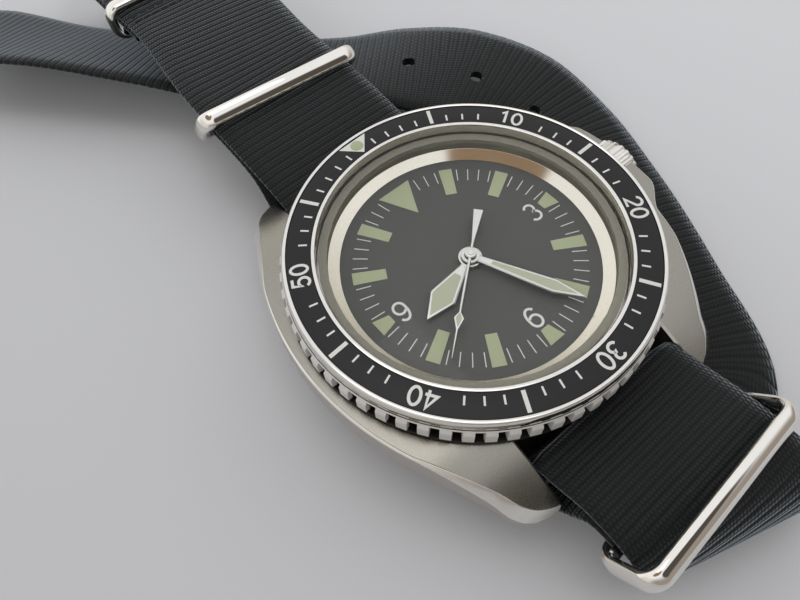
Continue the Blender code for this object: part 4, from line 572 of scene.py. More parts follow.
@dataclass
class Piece:
    """A visible piece: its mesh, its finishes and what it rides on."""

    name: str
    shell: Shell
    body: Body
    finishes: Sequence[Finish]
    slot: str
    replaces: Sequence[str] = ()
    sharp: float = 35.0

    def loose(self) -> bpy.types.Object:
        """Put the piece into the scene, riding on nothing yet.

        Returns:
            Its object.
        """
        mesh = self.shell.mesh(self.name)
        for look in self.finishes:
            mesh.materials.append(look.material())
        item = bpy.data.objects.new(self.name, mesh)
        bpy.context.scene.collection.objects.link(item)
        return item

    def settle(self, item: bpy.types.Object) -> bpy.types.Object:
        """Shade an object, attach it to its body, and hide the solids that it stands for.

        Args:
            item: the piece's object.

        Returns:
            The same object.
        """
        item.data.shade_smooth()
        item.data.set_sharp_from_angle(angle=math.radians(self.sharp))
        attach(item, self.body.value)
        if self.replaces:
            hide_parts(*self.replaces)
        LOG.info("%s: %d faces on %s", self.name, len(item.data.polygons), self.body.value)
        return item

    def make(self) -> bpy.types.Object:
        """Build the piece and settle it."""
        return self.settle(self.loose())


def carve(item: bpy.types.Object, shell: Shell, cut: Cut = Cut.REMOVE) -> None:
    """Take a tool shell from an object, or join it on, at once.

    Args:
        item: object that changes.
        shell: closed tool.
        cut: what the tool does.
    """
    tool = bpy.data.objects.new("tool", shell.mesh("tool"))
    bpy.context.scene.collection.objects.link(tool)
    step = item.modifiers.new("carve", "BOOLEAN")
    step.operation, step.object, step.solver = cut.value, tool, "EXACT"
    bake(item)
    bpy.data.objects.remove(tool)


def bake(item: bpy.types.Object) -> None:
    """Apply an object's modifiers to its mesh.

    Args:
        item: object that changes.
    """
    graph = bpy.context.evaluated_depsgraph_get()
    done = bpy.data.meshes.new_from_object(item.evaluated_get(graph))
    item.modifiers.clear()
    item.data = done


def soften(item: bpy.types.Object, width: float, segments: int = 3, angle: float = 40.0) -> None:
    """Round an object's sharp edges.

    Args:
        item: object that changes.
        width: width of the rounding in millimetres.
        segments: faces across it.
        angle: least angle of an edge that is rounded.
    """
    step = item.modifiers.new("round_edges", "BEVEL")
    step.width, step.segments, step.limit_method = width * MM, segments, "ANGLE"
    step.angle_limit, step.use_clamp_overlap = math.radians(angle), True
    bake(item)


def rounded(outline: Array, radius: Union[float, Array], steps: int = 4) -> Array:
    """Closed outline with each corner drawn as a short curve.

    A corner P becomes (1-t)^2 A + 2t(1-t) P + t^2 B, with A and B on the two sides at the radius from P.

    Args:
        outline: (n, 2) corners.
        radius: one radius, or one a corner.
        steps: points on each corner.

    Returns:
        (n * steps, 2) points.
    """
    before, after = np.roll(outline, 1, 0) - outline, np.roll(outline, -1, 0) - outline
    gaps = [np.linalg.norm(v, axis=1, keepdims=True) for v in (before, after)]
    reach = np.minimum(np.broadcast_to(np.reshape(radius, (-1, 1)), gaps[0].shape), 0.45 * np.minimum(*gaps))
    a, b = outline + before / gaps[0] * reach, outline + after / gaps[1] * reach
    t = np.linspace(0.0, 1.0, steps)[None, :, None]
    curve = (1 - t) ** 2 * a[:, None] + 2 * t * (1 - t) * outline[:, None] + t ** 2 * b[:, None]
    return curve.reshape(-1, 2)


def turned(profile: Array, count: int = ROUND) -> Array:
    """Surface of revolution about Z: (r cos a, r sin a, z) for each angle a and profile point (r, z).

    Args:
        profile: (n, 2) points.
        count: angles in a full turn.

    Returns:
        (count, n, 3) points.
    """
    angle = np.linspace(0.0, 2 * math.pi, count, endpoint=False)[:, None]
    radius, height = profile[None, :, 0], profile[None, :, 1]
    return np.stack([radius * np.cos(angle), radius * np.sin(angle), height + 0.0 * angle], -1)


def polar(radius: Any, bearing: Any) -> Array:
    """Points at radii and bearings in degrees, counter-clockwise from +X."""
    angle = np.radians(bearing)
    return np.stack(np.broadcast_arrays(radius * np.cos(angle), radius * np.sin(angle)), -1)


def clock(degrees: Any) -> Any:
    """Bearing of a clock angle, which runs clockwise from 12 o'clock."""
    return 90.0 - np.asarray(degrees, float)


def cross_bore(radius: float, ends: tuple[float, float], y: float, z: float, count: int = 40) -> Shell:
    """Round tool that lies along X.

    Args:
        radius: its radius.
        ends: X of its two ends.
        y: Y of its axis.
        z: height of its axis.
        count: points round it.

    Returns:
        The closed tool.
    """
    ring = polar(radius, np.linspace(0.0, 360.0, count, endpoint=False)) + np.array([y, z])
    shell = Shell()
    shell.grid(np.stack([np.column_stack([np.full(count, x), ring]) for x in ends]), caps=True)
    return shell


# Stage

@dataclass(frozen=True)
class Patch:
    """Round part of the room with a shade of its own.

    Its soft edge runs between two cosines of the angle from its middle.
    """

    toward: tuple[float, float, float]
    edge: tuple[float, float]
    shade: Colour


@dataclass
class Stage:
    """Camera, pale table and soft light."""

    camera_at: tuple[float, float, float] = (-29.482, -26.178, 71.005)
    right: tuple[float, float, float] = (0.7623, -0.64645, -0.03162)
    up: tuple[float, float, float] = (0.57279, 0.65109, 0.49799)
    back: tuple[float, float, float] = (-0.30134, -0.39773, 0.8666)
    lens: float = 30.02
    sensor: float = 36.0
    sight: tuple[float, float] = (0.002, 20.0)
    lamp_at: tuple[float, float, float] = (0.0, 0.06, 0.55)
    lamp_size: float = 0.30
    lamp_power: float = 0.26
    lamp_colour: Colour = (1.0, 0.99, 0.97)
    room_strength: float = 1.11
    overhead: Patch = Patch((-0.34, -0.14, 0.929), (0.925, 0.950), (0.25, 0.165, 0.105))
    behind: Patch = Patch((0.2, -0.78, 0.59), (0.915, 0.955), (0.08, 0.07, 0.06))
    table_reach: float = 1500.0
    table_z: float = -1.42

    def build(self) -> None:
        """Set the camera, the table, the lamp and the room."""
        scene = bpy.context.scene
        scene.view_settings.view_transform = "Standard"
        eye = bpy.data.cameras.new("camera")
        eye.lens, eye.sensor_width = self.lens, self.sensor
        eye.clip_start, eye.clip_end = self.sight
        camera = bpy.data.objects.new("camera", eye)
        turn = Matrix((self.right, self.up, self.back)).transposed().to_4x4()
        camera.matrix_world = Matrix.Translation([c * MM for c in self.camera_at]) @ turn
        scene.collection.objects.link(camera)
        scene.camera = camera
        self.table()
        self.lamp()
        self.sky()

    def table(self) -> None:
        """Pale table top with a faint tooth and a painted falloff of light in its colour."""
        shell = Shell()
        reach, z = self.table_reach, self.table_z
        shell.put(np.array([(-reach, -reach, z), (reach, -reach, z), (reach, reach, z), (-reach, reach, z)]),
                  np.array([[0, 1, 2, 3]]))
        mesh = shell.mesh("table")
        mesh.materials.append(TABLE_PAINTED_FALLOFF.material())
        item = bpy.data.objects.new("table", mesh)
        bpy.context.scene.collection.objects.link(item)

    def lamp(self) -> None:
        """Square area lamp that faces the watch."""
        light = bpy.data.lights.new("softbox", "AREA")
        light.size, light.energy, light.color = self.lamp_size, self.lamp_power, self.lamp_colour
        item = bpy.data.objects.new("softbox", light)
        at = Vector(self.lamp_at)
        item.matrix_world = Matrix.Translation(at) @ at.to_track_quat("Z", "Y").to_matrix().to_4x4()
        bpy.context.scene.collection.objects.link(item)

    def sky(self) -> None:
        """Room light: pale above, brighter walls on one side, a brown patch overhead, a dark one behind."""
        world = bpy.data.worlds.new("room")
        bpy.context.scene.world = world
        world.use_nodes = True
        graph = Graph(world.node_tree)
        way = graph.node("ShaderNodeTexCoord", output="Generated")
        side = graph.part(way, "X") * -0.25 + graph.part(way, "Y") * 0.94
        wall = graph.mix((0.30, 0.265, 0.24), (0.66, 0.64, 0.60), side.step(-0.6, -0.05))
        wall = graph.mix(wall, (0.92, 0.91, 0.88), side.step(0.45, 0.85))
        colour = graph.mix(wall, (0.86, 0.87, 0.90), graph.part(way, "Z").step(0.2, 0.7))
        for patch in (self.overhead, self.behind):
            near = graph.node("ShaderNodeVectorMath", {"operation": "DOT_PRODUCT"},
                              {0: way, 1: patch.toward}, "Value")
            colour = graph.mix(colour, patch.shade, near.step(*patch.edge))
        light = graph.node("ShaderNodeBackground", None, {"Color": colour, "Strength": self.room_strength})
        end = graph.tree.nodes.new("ShaderNodeOutputWorld")
        graph.tree.links.new(light.socket, end.inputs[0])


# Figures

@dataclass(frozen=True)
class Figures:
    """Numerals drawn with a stroke of even width, in a box one unit high."""

    width: float = 0.62
    stroke: float = 0.155

    @staticmethod
    def bow(x: float, y: float, rx: float, ry: float, start: float, end: float) -> Array:
        """Points along part of an ellipse."""
        angle = np.radians(np.linspace(start, end, 25))
        return np.column_stack([x + rx * np.cos(angle), y + ry * np.sin(angle)])

    def strokes(self, digit: str) -> list[tuple[Array, bool]]:
        """Middle lines of a digit.

        Args:
            digit: one of the digits on the watch.

        Returns:
            Each line's points, with True where it closes on itself.
        """
        w, m = self.width, self.width / 2
        bow = self.bow
        six = [(np.vstack([bow(m + 0.03, 0.5, m + 0.03, 0.5, 42.0, 176.0),
                           bow(m, 0.31, m, 0.31, 184.0, 500.0)]), False)]
        shapes: dict[str, list[tuple[Array, bool]]] = {
            "0": [(bow(m, 0.5, m, 0.5, 0.0, 345.0), True)],
            "1": [(np.array([(0.14, 0.80), (0.40, 1.0), (0.40, 0.0)]), False)],
            "2": [(np.vstack([bow(m, 0.70, m, 0.30, 170.0, -35.0), [(0.02, 0.0), (w, 0.0)]]), False)],
            "3": [(np.vstack([bow(m - 0.02, 0.75, m - 0.04, 0.25, 155.0, -75.0),
                              bow(m - 0.02, 0.27, m, 0.27, 75.0, -155.0)]), False)],
            "4": [(np.array([(0.47, 0.0), (0.47, 1.0), (0.0, 0.26), (0.66, 0.26)]), False)],
            "5": [(np.vstack([[(0.56, 1.0), (0.10, 1.0), (0.04, 0.50)],
                              bow(m - 0.01, 0.32, m, 0.32, 140.0, -150.0)]), False)],
            "6": six,
            "9": [((np.array([w, 1.0]) - line), closed) for line, closed in six],
        }
        return shapes[digit]

    def write(self, shell: Shell, text: str, height: float, gap: float, put: Callable[[Array], Array],
              low: float, high: float) -> None:
        """Add a number to a shell as low flat strokes.

        Each stroke is its middle line moved half a stroke to either side, between two heights.

        Args:
            shell: shell that gets the strokes.
            text: digits.
            height: height of a digit in millimetres.
            gap: space between digits, in digit heights.
            put: turns (n, 3) points on the plane, centred on the number, into places.
            low: lower height of the strokes.
            high: upper height of the strokes.
        """
        pitch = self.width + gap
        span = pitch * len(text) - gap
        for number, digit in enumerate(text):
            for line, closed in self.strokes(digit):
                ahead = np.roll(line, -1, 0) - line
                back = line - np.roll(line, 1, 0)
                if not closed:
                    ahead[-1], back[0] = back[-1], ahead[0]
                ahead /= np.linalg.norm(ahead, axis=1, keepdims=True)
                back /= np.linalg.norm(back, axis=1, keepdims=True)
                middle = ahead + back
                middle /= np.linalg.norm(middle, axis=1, keepdims=True)
                lean = np.maximum((middle * ahead).sum(1, keepdims=True), 0.5)
                off = np.column_stack([-middle[:, 1], middle[:, 0]]) * self.stroke / 2 / lean
                left, right = line + off, line - off
                shift = np.array([number * pitch - span / 2, -0.5])
                sides = [np.column_stack([(p + shift) * height, np.full(len(p), z)])
                         for p, z in ((left, low), (right, low), (right, high), (left, high))]
                ring = np.stack(sides, 1)
                shell.grid(put(ring.reshape(-1, 3)).reshape(ring.shape), rows_close=closed, caps=not closed)


def blocks(shell: Shell, bearings: Array, inner: float, outer: float, inner_width: float, outer_width: float,
           low: float, high: float, seat: Callable[[Array], Array]) -> None:
    """Add radial blocks, one a bearing, straight-sided between two radii.

    Args:
        shell: shell that gets them.
        bearings: (n,) bearings in degrees.
        inner: inner radius.
        outer: outer radius.
        inner_width: width at the inner end.
        outer_width: width at the outer end.
        low: lower height over the seat.
        high: upper height over the seat.
        seat: height of the surface below, for each radius.
    """
    along = np.array([inner, outer, outer, inner, inner, outer, outer, inner])
    aside = np.array([-inner_width, -outer_width, outer_width, inner_width] * 2) / 2
    rise = np.array([low] * 4 + [high] * 4)
    angle = np.radians(np.atleast_1d(bearings))[:, None]
    x = along * np.cos(angle) - aside * np.sin(angle)
    y = along * np.sin(angle) + aside * np.cos(angle)
    z = seat(np.hypot(x, y)) + rise
    faces = np.array([(0, 3, 2, 1), (4, 5, 6, 7), (0, 1, 5, 4), (1, 2, 6, 5), (2, 3, 7, 6), (3, 0, 4, 7)])
    count = len(angle)
    shell.put(np.stack([x, y, z], -1).reshape(-1, 3),
              (faces[None] + 8 * np.arange(count)[:, None, None]).reshape(-1, 4))


# Case

@dataclass
class Case:
    """Middle case with lugs and crown guards, its neck, and the screw back."""

    half_width: float = 21.1
    waist: float = 18.7
    waist_y: float = 12.0
    shoulder: float = 15.1
    shoulder_y: float = 20.0
    tip_y: float = 23.75
    tip_width: float = 4.86
    top: float = 10.8
    bottom: float = 3.4
    lug_drop: float = 3.8
    gap: float = 10.05
    band: float = 18.55
    cavity: float = 15.3
    thread: float = 16.55
    neck: float = 15.95
    neck_top: float = 13.4
    crown_z: float = CROWN_Z
    back_bottom: float = 2.6
    swell: float = 0.9
    guard_y: float = 5.2
    guard_fade: float = 3.6
    flare: float = 0.22
    band_top: float = 9.4
    thread_top: float = 5.45
    stem_bore: float = 1.45
    crown_bore: float = 3.85
    crown_seat: float = 20.8

    def flank(self, y: Array) -> Array:
        """Half width along Y, with its kinks smoothed by a mean over a short stretch away from the tip."""
        spread = 0.9 * np.clip(self.tip_y - 0.9 - np.abs(y), 0.0, 1.0)
        return np.mean([self.outline(np.abs(y) + spread * k) for k in np.linspace(-1.0, 1.0, 9)], axis=0)

    def outline(self, reach: Array) -> Array:
        """Half width before smoothing: a parabola to the waist, a straight lug, and an ellipse at its tip.

        Args:
            reach: distances from the middle along Y.

        Returns:
            The half width at each.
        """
        reach = np.abs(reach)
        body = self.half_width - (self.half_width - self.waist) * (reach / self.waist_y) ** 2
        run = (reach - self.waist_y) / (self.shoulder_y - self.waist_y)
        lug = self.waist - (self.waist - self.shoulder) * run
        turn = np.clip((reach - self.shoulder_y) / (self.tip_y - self.shoulder_y), 0.0, 1.0)
        nose = self.shoulder - self.tip_width * (1 - np.sqrt(1 - turn ** 2))
        return np.where(reach < self.waist_y, body, np.where(reach < self.shoulder_y, lug, nose))

    def guard(self, y: Array) -> Array:
        """Extra width on the crown side: a low swell, and the guards with a cosine fade.

        Args:
            y: places along Y.

        Returns:
            The extra width at each.
        """
        reach = np.abs(y)
        swell = self.swell * np.maximum(1 - (reach / self.shoulder_y) ** 4, 0.0)
        fade = np.clip((reach - self.guard_y) / self.guard_fade, 0.0, 1.0)
        return swell + 1.0 + np.cos(math.pi * fade)

    def share(self, y: Array) -> Array:
        """0 at the waist and 1 at the lug's tip."""
        return np.maximum(np.abs(y) - self.waist_y, 0.0) / (self.tip_y - self.waist_y)

    def roof(self, y: Array) -> Array:
        """Height of the lugs' top, falling as a power of the share."""
        return self.top - self.lug_drop * self.share(y) ** 1.8

    def loft(self) -> Shell:
        """Closed body through sections along Y, each an octagon with rounded corners.

        Returns:
            The body, with the lugs' bevels polished and their top satin, in a darker colour that is painted
            shade.
        """
        nose = np.sin(np.linspace(0.0, math.pi / 2, 25)) * (self.tip_y - 0.02 - self.shoulder_y)
        half = np.concatenate([np.linspace(0.0, self.shoulder_y, 90)[:-1], self.shoulder_y + nose])
        y = np.concatenate([-half[:0:-1], half])
        share = self.share(y)
        roof, floor = self.roof(y), self.bottom + 0.6 * np.maximum(np.abs(y) - 17.3, 0.0) / 6.45
        bevel, rise, inset = 0.25 + 1.25 * share, 3.4 - 2.2 * share, 2.2 - 1.2 * share
        left, right = -self.flank(y), self.flank(y) + self.guard(y)
        corners = np.stack([
            np.stack([left + inset, floor], -1), np.stack([right - inset, floor], -1),
            np.stack([right, floor + rise], -1), np.stack([right, roof - bevel], -1),
            np.stack([right - bevel, roof], -1), np.stack([left + bevel, roof], -1),
            np.stack([left, roof - bevel], -1), np.stack([left, floor + rise], -1)], 1)
        radii = np.array([0.25, 0.25, 0.8, 0.12, 0.12, 0.12, 0.12, 0.8])
        rings = np.stack([rounded(section, radii, 5) for section in corners])
        points = np.stack([rings[..., 0], np.broadcast_to(y[:, None], rings.shape[:2]), rings[..., 1]], -1)
        looks = np.zeros(points.shape[1], int)
        looks[17:22], looks[27:32] = 1, 1
        # lug tops: satin grain, with a colour darkened as painted shade
        looks[22:27] = 2
        shell = Shell()
        shell.grid(points, caps=True, look=looks)
        return shell

    def gap_tool(self, side: float) -> Shell:
        """Tool for the strap's gap between two lugs, with a small flare at the lugs' inner top edges.

        Args:
            side: 1 for the 12 o'clock side, -1 for the other.

        Returns:
            The closed tool.
        """
        y = np.linspace(14.2, self.tip_y + 1.0, 40)
        roof = self.roof(np.minimum(y, self.tip_y))
        low, high = np.full_like(y, self.bottom - 2.0), np.full_like(y, self.top + 2.0)
        wide = self.gap + self.flare
        right = [(self.gap, low), (self.gap, roof - self.flare), (wide, roof), (wide + 0.001, high)]
        around = [(-self.gap, low)] + right + [(-x, z) for x, z in right[:0:-1]]
        sides = [np.stack([np.full_like(y, x), side * y, z], -1) for x, z in around]
        shell = Shell()
        shell.grid(np.stack(sides, 1), caps=True)
        return shell

    @staticmethod
    def drum(radius: float, low: float, high: float) -> Shell:
        """Upright cylinder as a tool.

        Args:
            radius: its radius.
            low: lower end.
            high: upper end.

        Returns:
            The closed tool.
        """
        shell = Shell()
        shell.prism(polar(radius, np.linspace(0.0, 360.0, ROUND, endpoint=False)), low, high)
        return shell

    def build(self) -> None:
        """Carve the middle case from its loft and make the back."""
        piece = Piece("middle_case", self.loft(), Body.WATCH, (STEEL_BRUSHED, STEEL_POLISHED, STEEL_TOP_PAINTED_SHADE),
                      "brushed_steel", ("mid_case",), 28.0)
        case = piece.loose()
        carve(case, self.gap_tool(1.0))
        carve(case, self.gap_tool(-1.0))
        carve(case, self.drum(self.band, self.bottom, self.band_top), Cut.JOIN)
        carve(case, self.drum(self.neck, self.top - 2.0, self.neck_top), Cut.JOIN)
        carve(case, self.drum(self.cavity, self.bottom - 1.0, self.neck_top + 1.0))
        carve(case, self.drum(self.thread, self.bottom - 1.0, self.thread_top))
        carve(case, cross_bore(self.stem_bore, (13.0, self.crown_seat), 0.0, self.crown_z, 72))
        carve(case, cross_bore(self.crown_bore, (self.crown_seat, 28.0), 0.0, self.crown_z, 72))
        piece.settle(case)
        self.back()

    def back(self) -> None:
        """Screw back: a turned disc with six key notches."""
        low, near, far, half = self.back_bottom, 16.2, 18.0, 1.2
        profile = np.array([(17.0, low), (17.3, low + 0.3), (17.3, 3.35), (16.5, 3.35), (16.5, 4.95),
                            (15.0, 4.95), (15.0, 3.7), (0.0, 3.7), (0.0, low), (13.2, low),
                            (13.3, low + 0.06), (13.5, low + 0.06), (13.6, low)])
        shell = Shell()
        shell.grid(turned(profile), rows_close=True, cols_close=True)
        piece = Piece("screw_back", shell, Body.WATCH, (STEEL_BRUSHED,), "brushed_steel", ("case_back",))
        back = piece.loose()
        for bearing in range(0, 360, 60):
            tool = Shell()
            spot = polar(1.0, float(bearing))
            side = np.array([-spot[1], spot[0]])
            ends = np.array([(near, -half), (far, -half), (far, half), (near, half)])
            tool.prism(ends[:, :1] * spot + ends[:, 1:] * side, low - 0.6, low + 0.6)
            carve(back, tool)
        piece.settle(back)


@dataclass
class Bezel:
    """Turning bezel with a coin edge, its black insert with marks, and the luminous pip."""

    bottom: float = 11.0
    bore: float = 16.05
    outer: float = 20.0
    root: float = 19.0
    insert_outer: float = 19.0
    insert_inner: float = 16.49
    insert_top: float = 15.0
    insert_bottom: float = 14.42
    insert_fall: float = 0.12
    teeth: int = 60
    tooth_share: float = 0.60
    turn: float = 2.34
    mark_outer: float = 18.85
    number_at: float = 17.72
    number_height: float = 1.75
    pip_at: float = 17.945

    def seat(self, radius: Array) -> Array:
        """Height of the insert's cone at each radius."""
        return self.insert_top - self.insert_fall * (radius - self.insert_inner) / (
            self.insert_outer - self.insert_inner)

    def bearing(self, minute: Any) -> Any:
        """Bearing of a minute on the turned bezel."""
        return clock(np.asarray(minute) * 6.0) + self.turn

    def build(self) -> None:
        """Make the ring, the insert, its marks and the pip."""
        self.ring()
        self.insert()
        self.marks()

    def profile(self) -> Array:
        """Profile of the ring, from its bore round the outside and back.

        Returns:
            Rows of (radius, height, share of a tab's depth, look).
        """
        low = self.bottom
        skirt = [(self.bore, low), (19.9, low), (19.96, low + 0.06), (19.96, low + 0.44), (19.90, low + 0.5),
                 (self.root, low + 0.51)]
        tooth = [(11.55, 0.985), (12.4, 0.985), (13.05, 0.985), (13.12, 0.97), (13.40, 0.76)]
        strip = [(19.74, 13.43), (19.70, 13.56)]
        groove = [(19.64, 13.6), (19.2, 13.61), (19.2, 13.70)]
        rim = [(19.56, 13.71), (19.6, 13.75), (19.6, 14.20), (19.58, 14.5), (19.53, 14.74), (19.45, 14.90),
               (19.35, 14.98), (19.25, 15.0), (19.14, 14.98), (19.07, 14.94), (19.05, 14.88), (19.05, 14.36),
               (19.0, 14.35), (16.5, 14.35), (16.44, 14.37), (16.44, 14.96), (16.42, 15.0), (16.36, 15.02),
               (16.16, 15.02), (16.09, 15.0), (self.bore, 14.94)]
        # skirt and groove rows take the dark finish, painted shade
        return np.array([(r, z, 0.0, RimLook.DARK) for r, z in skirt]
                        + [(self.root, z, out, RimLook.TAB) for z, out in tooth]
                        + [(r, z, 0.0, RimLook.TAB) for r, z in strip]
                        + [(r, z, 0.0, RimLook.DARK) for r, z in groove]
                        + [(r, z, 0.0, RimLook.POLISHED) for r, z in rim])

    def ring(self) -> None:
        """Ring: its profile is turned, and the radius of the tooth rows steps in and out round the edge.

        Over one tooth the tab is 1, in the gap 0, with a short flank between them, under a plain band. The
        gaps, the groove under the rim and the skirt below the tabs are dark: painted shade.
        """
        cuts = np.array([0.0, 0.02, 0.05, 0.16, 0.30, 0.45, 0.57, 0.60, 0.625, 0.645, 0.68, 0.75, 0.82, 0.89,
                         0.955, 0.985])
        tab = np.clip(np.minimum((cuts + 0.01) / 0.04, (self.tooth_share + 0.02 - cuts) / 0.04), 0.0, 1.0)
        angle = (np.arange(self.teeth)[:, None] + cuts[None]).reshape(-1) * 360.0 / self.teeth + self.turn
        tabs = np.tile(tab, self.teeth)[:, None]
        radius, height, out, look = self.profile().T[:, None]
        radius = radius + (self.outer - self.root) * tabs * out
        turn = np.radians(angle)[:, None]
        points = np.stack([radius * np.cos(turn), radius * np.sin(turn), height + 0.0 * turn], -1)
        # tooth faces in a gap take the dark finish, painted shade
        gap = np.minimum(tabs, np.roll(tabs, -1, 0)) < 0.2
        shell = Shell()
        shell.grid(points, rows_close=True,
                   look=np.where((out > 0) & gap, float(RimLook.DARK), look).astype(int))
        Piece("bezel_ring", shell, Body.BEZEL, (STEEL_POLISHED, STEEL_PAINTED_SHADE, STEEL_TAB), "brushed_steel",
              ("bezel",), 26.0).make()

    def insert(self) -> None:
        """Black ring, a shallow cone with softened edges."""
        inner, outer, low, top = self.insert_inner, self.insert_outer, self.insert_bottom, self.insert_top
        corners = np.array([(inner, top), (outer, top - self.insert_fall), (outer, low), (inner, low)])
        profile = rounded(corners, 0.04, 4)
        shell = Shell()
        shell.grid(turned(profile, 240), rows_close=True)
        Piece("insert_ring", shell, Body.BEZEL, (INSERT_BLACK,), "black_insert", ("bezel_insert",)).make()

    def marks(self) -> None:
        """White minute marks, numbers and the triangle with its pip."""
        shell = Shell()
        minutes = np.arange(60)
        fives = minutes[minutes % 10 == 5]
        hidden = (minutes % 5 == 0) | np.isin(minutes % 10, [9, 1]) & (minutes > 2) & (minutes < 58)
        plain = minutes[~hidden]
        blocks(shell, self.bearing(fives), 16.72, self.mark_outer, 0.42, 0.42, SUNK, PRINTED, self.seat)
        blocks(shell, self.bearing(plain), 16.85, 17.75, 0.20, 0.20, SUNK, PRINTED, self.seat)
        figures = Figures(0.60, 0.17)
        for minute in range(10, 60, 10):
            put = partial(self.on_cone, spin=math.radians(float(self.bearing(minute)) - 90.0))
            figures.write(shell, str(minute), self.number_height, 0.26, put, SUNK, PRINTED)
        Piece("insert_marks", shell, Body.BEZEL, (PRINT_WHITE,), "lume").make()
        self.triangle()

    def on_cone(self, points: Array, spin: float) -> Array:
        """Set a number with its top outwards on the insert's cone.

        Args:
            points: (n, 3) points about the number's middle.
            spin: turn about the watch axis in radians.

        Returns:
            Their places.
        """
        x, y = points[:, 0], points[:, 1] + self.number_at
        across, ahead = x * math.cos(spin) - y * math.sin(spin), x * math.sin(spin) + y * math.cos(spin)
        return np.column_stack([across, ahead, self.seat(np.hypot(x, y)) + points[:, 2]])

    def triangle(self) -> None:
        """White triangle, and a domed luminous pip in it."""
        turn = math.radians(self.turn)
        spin = np.array([(math.cos(turn), -math.sin(turn)), (math.sin(turn), math.cos(turn))])
        mark, dome = Shell(), Shell()
        flat = np.array([(-1.9, self.mark_outer), (0.0, 16.66), (1.9, self.mark_outer)]) @ spin.T
        base = self.seat(np.hypot(*flat.T))
        mark.grid(np.stack([np.column_stack([flat, base + z]) for z in (SUNK, PRINTED)]), caps=True)
        Piece("insert_triangle", mark, Body.BEZEL, (PRINT_WHITE,), "lume").make()
        profile = np.array([(0.0, -0.3), (0.55, -0.3), (0.55, 0.005), (0.74, 0.015), (0.74, 0.03),
                            (0.66, 0.07), (0.46, 0.1), (0.22, 0.118), (0.0, 0.12)])
        points = turned(profile, 48)
        spot = spin @ np.array([0.0, self.pip_at])
        points[..., :2] += spot
        points[..., 2] += self.seat(np.array(self.pip_at))
        dome.grid(points, rows_close=True, cols_close=False)
        Piece("pip_dome", dome, Body.BEZEL, (LUME,), "lume", ("bezel_pip",)).make()


@dataclass(frozen=True)
class Hand:
    """Sizes of one hand.

    Its blade and filling are (along, half width) from end to end; a hub is (radius, bore, lift, thickness).
    """

    name: str
    body: Body
    angle: float
    z: float
    bevel: float
    blade: Sequence[tuple[float, float]]
    hubs: Sequence[tuple[float, float, float, float]]
    filling: Sequence[tuple[float, float]]
    filling_lift: float = 0.12
    filling_thick: float = 0.10
    filling_bevel: float = 0.04


HANDS = (
    Hand("hour", Body.HOUR, 252.6, 11.85, 0.14,
         [(1.0, 0.5), (1.5, 0.45), (5.65, 1.45), (5.85, 1.45), (8.8, 0.0)], [(1.28, 0.92, -0.27, 0.5)],
         [(2.6, 0.42), (5.62, 1.16), (5.86, 1.16), (8.15, 0.08)]),
    Hand("minute", Body.MINUTE, 155.5, 12.25, 0.12,
         [(0.8, 0.42), (1.3, 0.4), (9.2, 0.85), (12.5, 0.0)], [(1.0, 0.6, 0.0, 0.24)],
         [(2.4, 0.24), (9.2, 0.58), (11.6, 0.06)]),
    Hand("seconds", Body.SECONDS, 231.7, 12.65, 0.06,
         [(-5.7, 0.575), (-1.4, 0.16), (0.95, 0.16), (7.2, 0.13), (7.9, 0.55), (9.2, 0.13), (12.3, 0.06)],
         [(0.62, 0.0, 0.0, 0.26), (0.36, 0.0, 0.2, 0.14)], [(7.3, 0.05), (7.9, 0.34), (8.9, 0.04)],
         0.14, 0.08, 0.03),
)


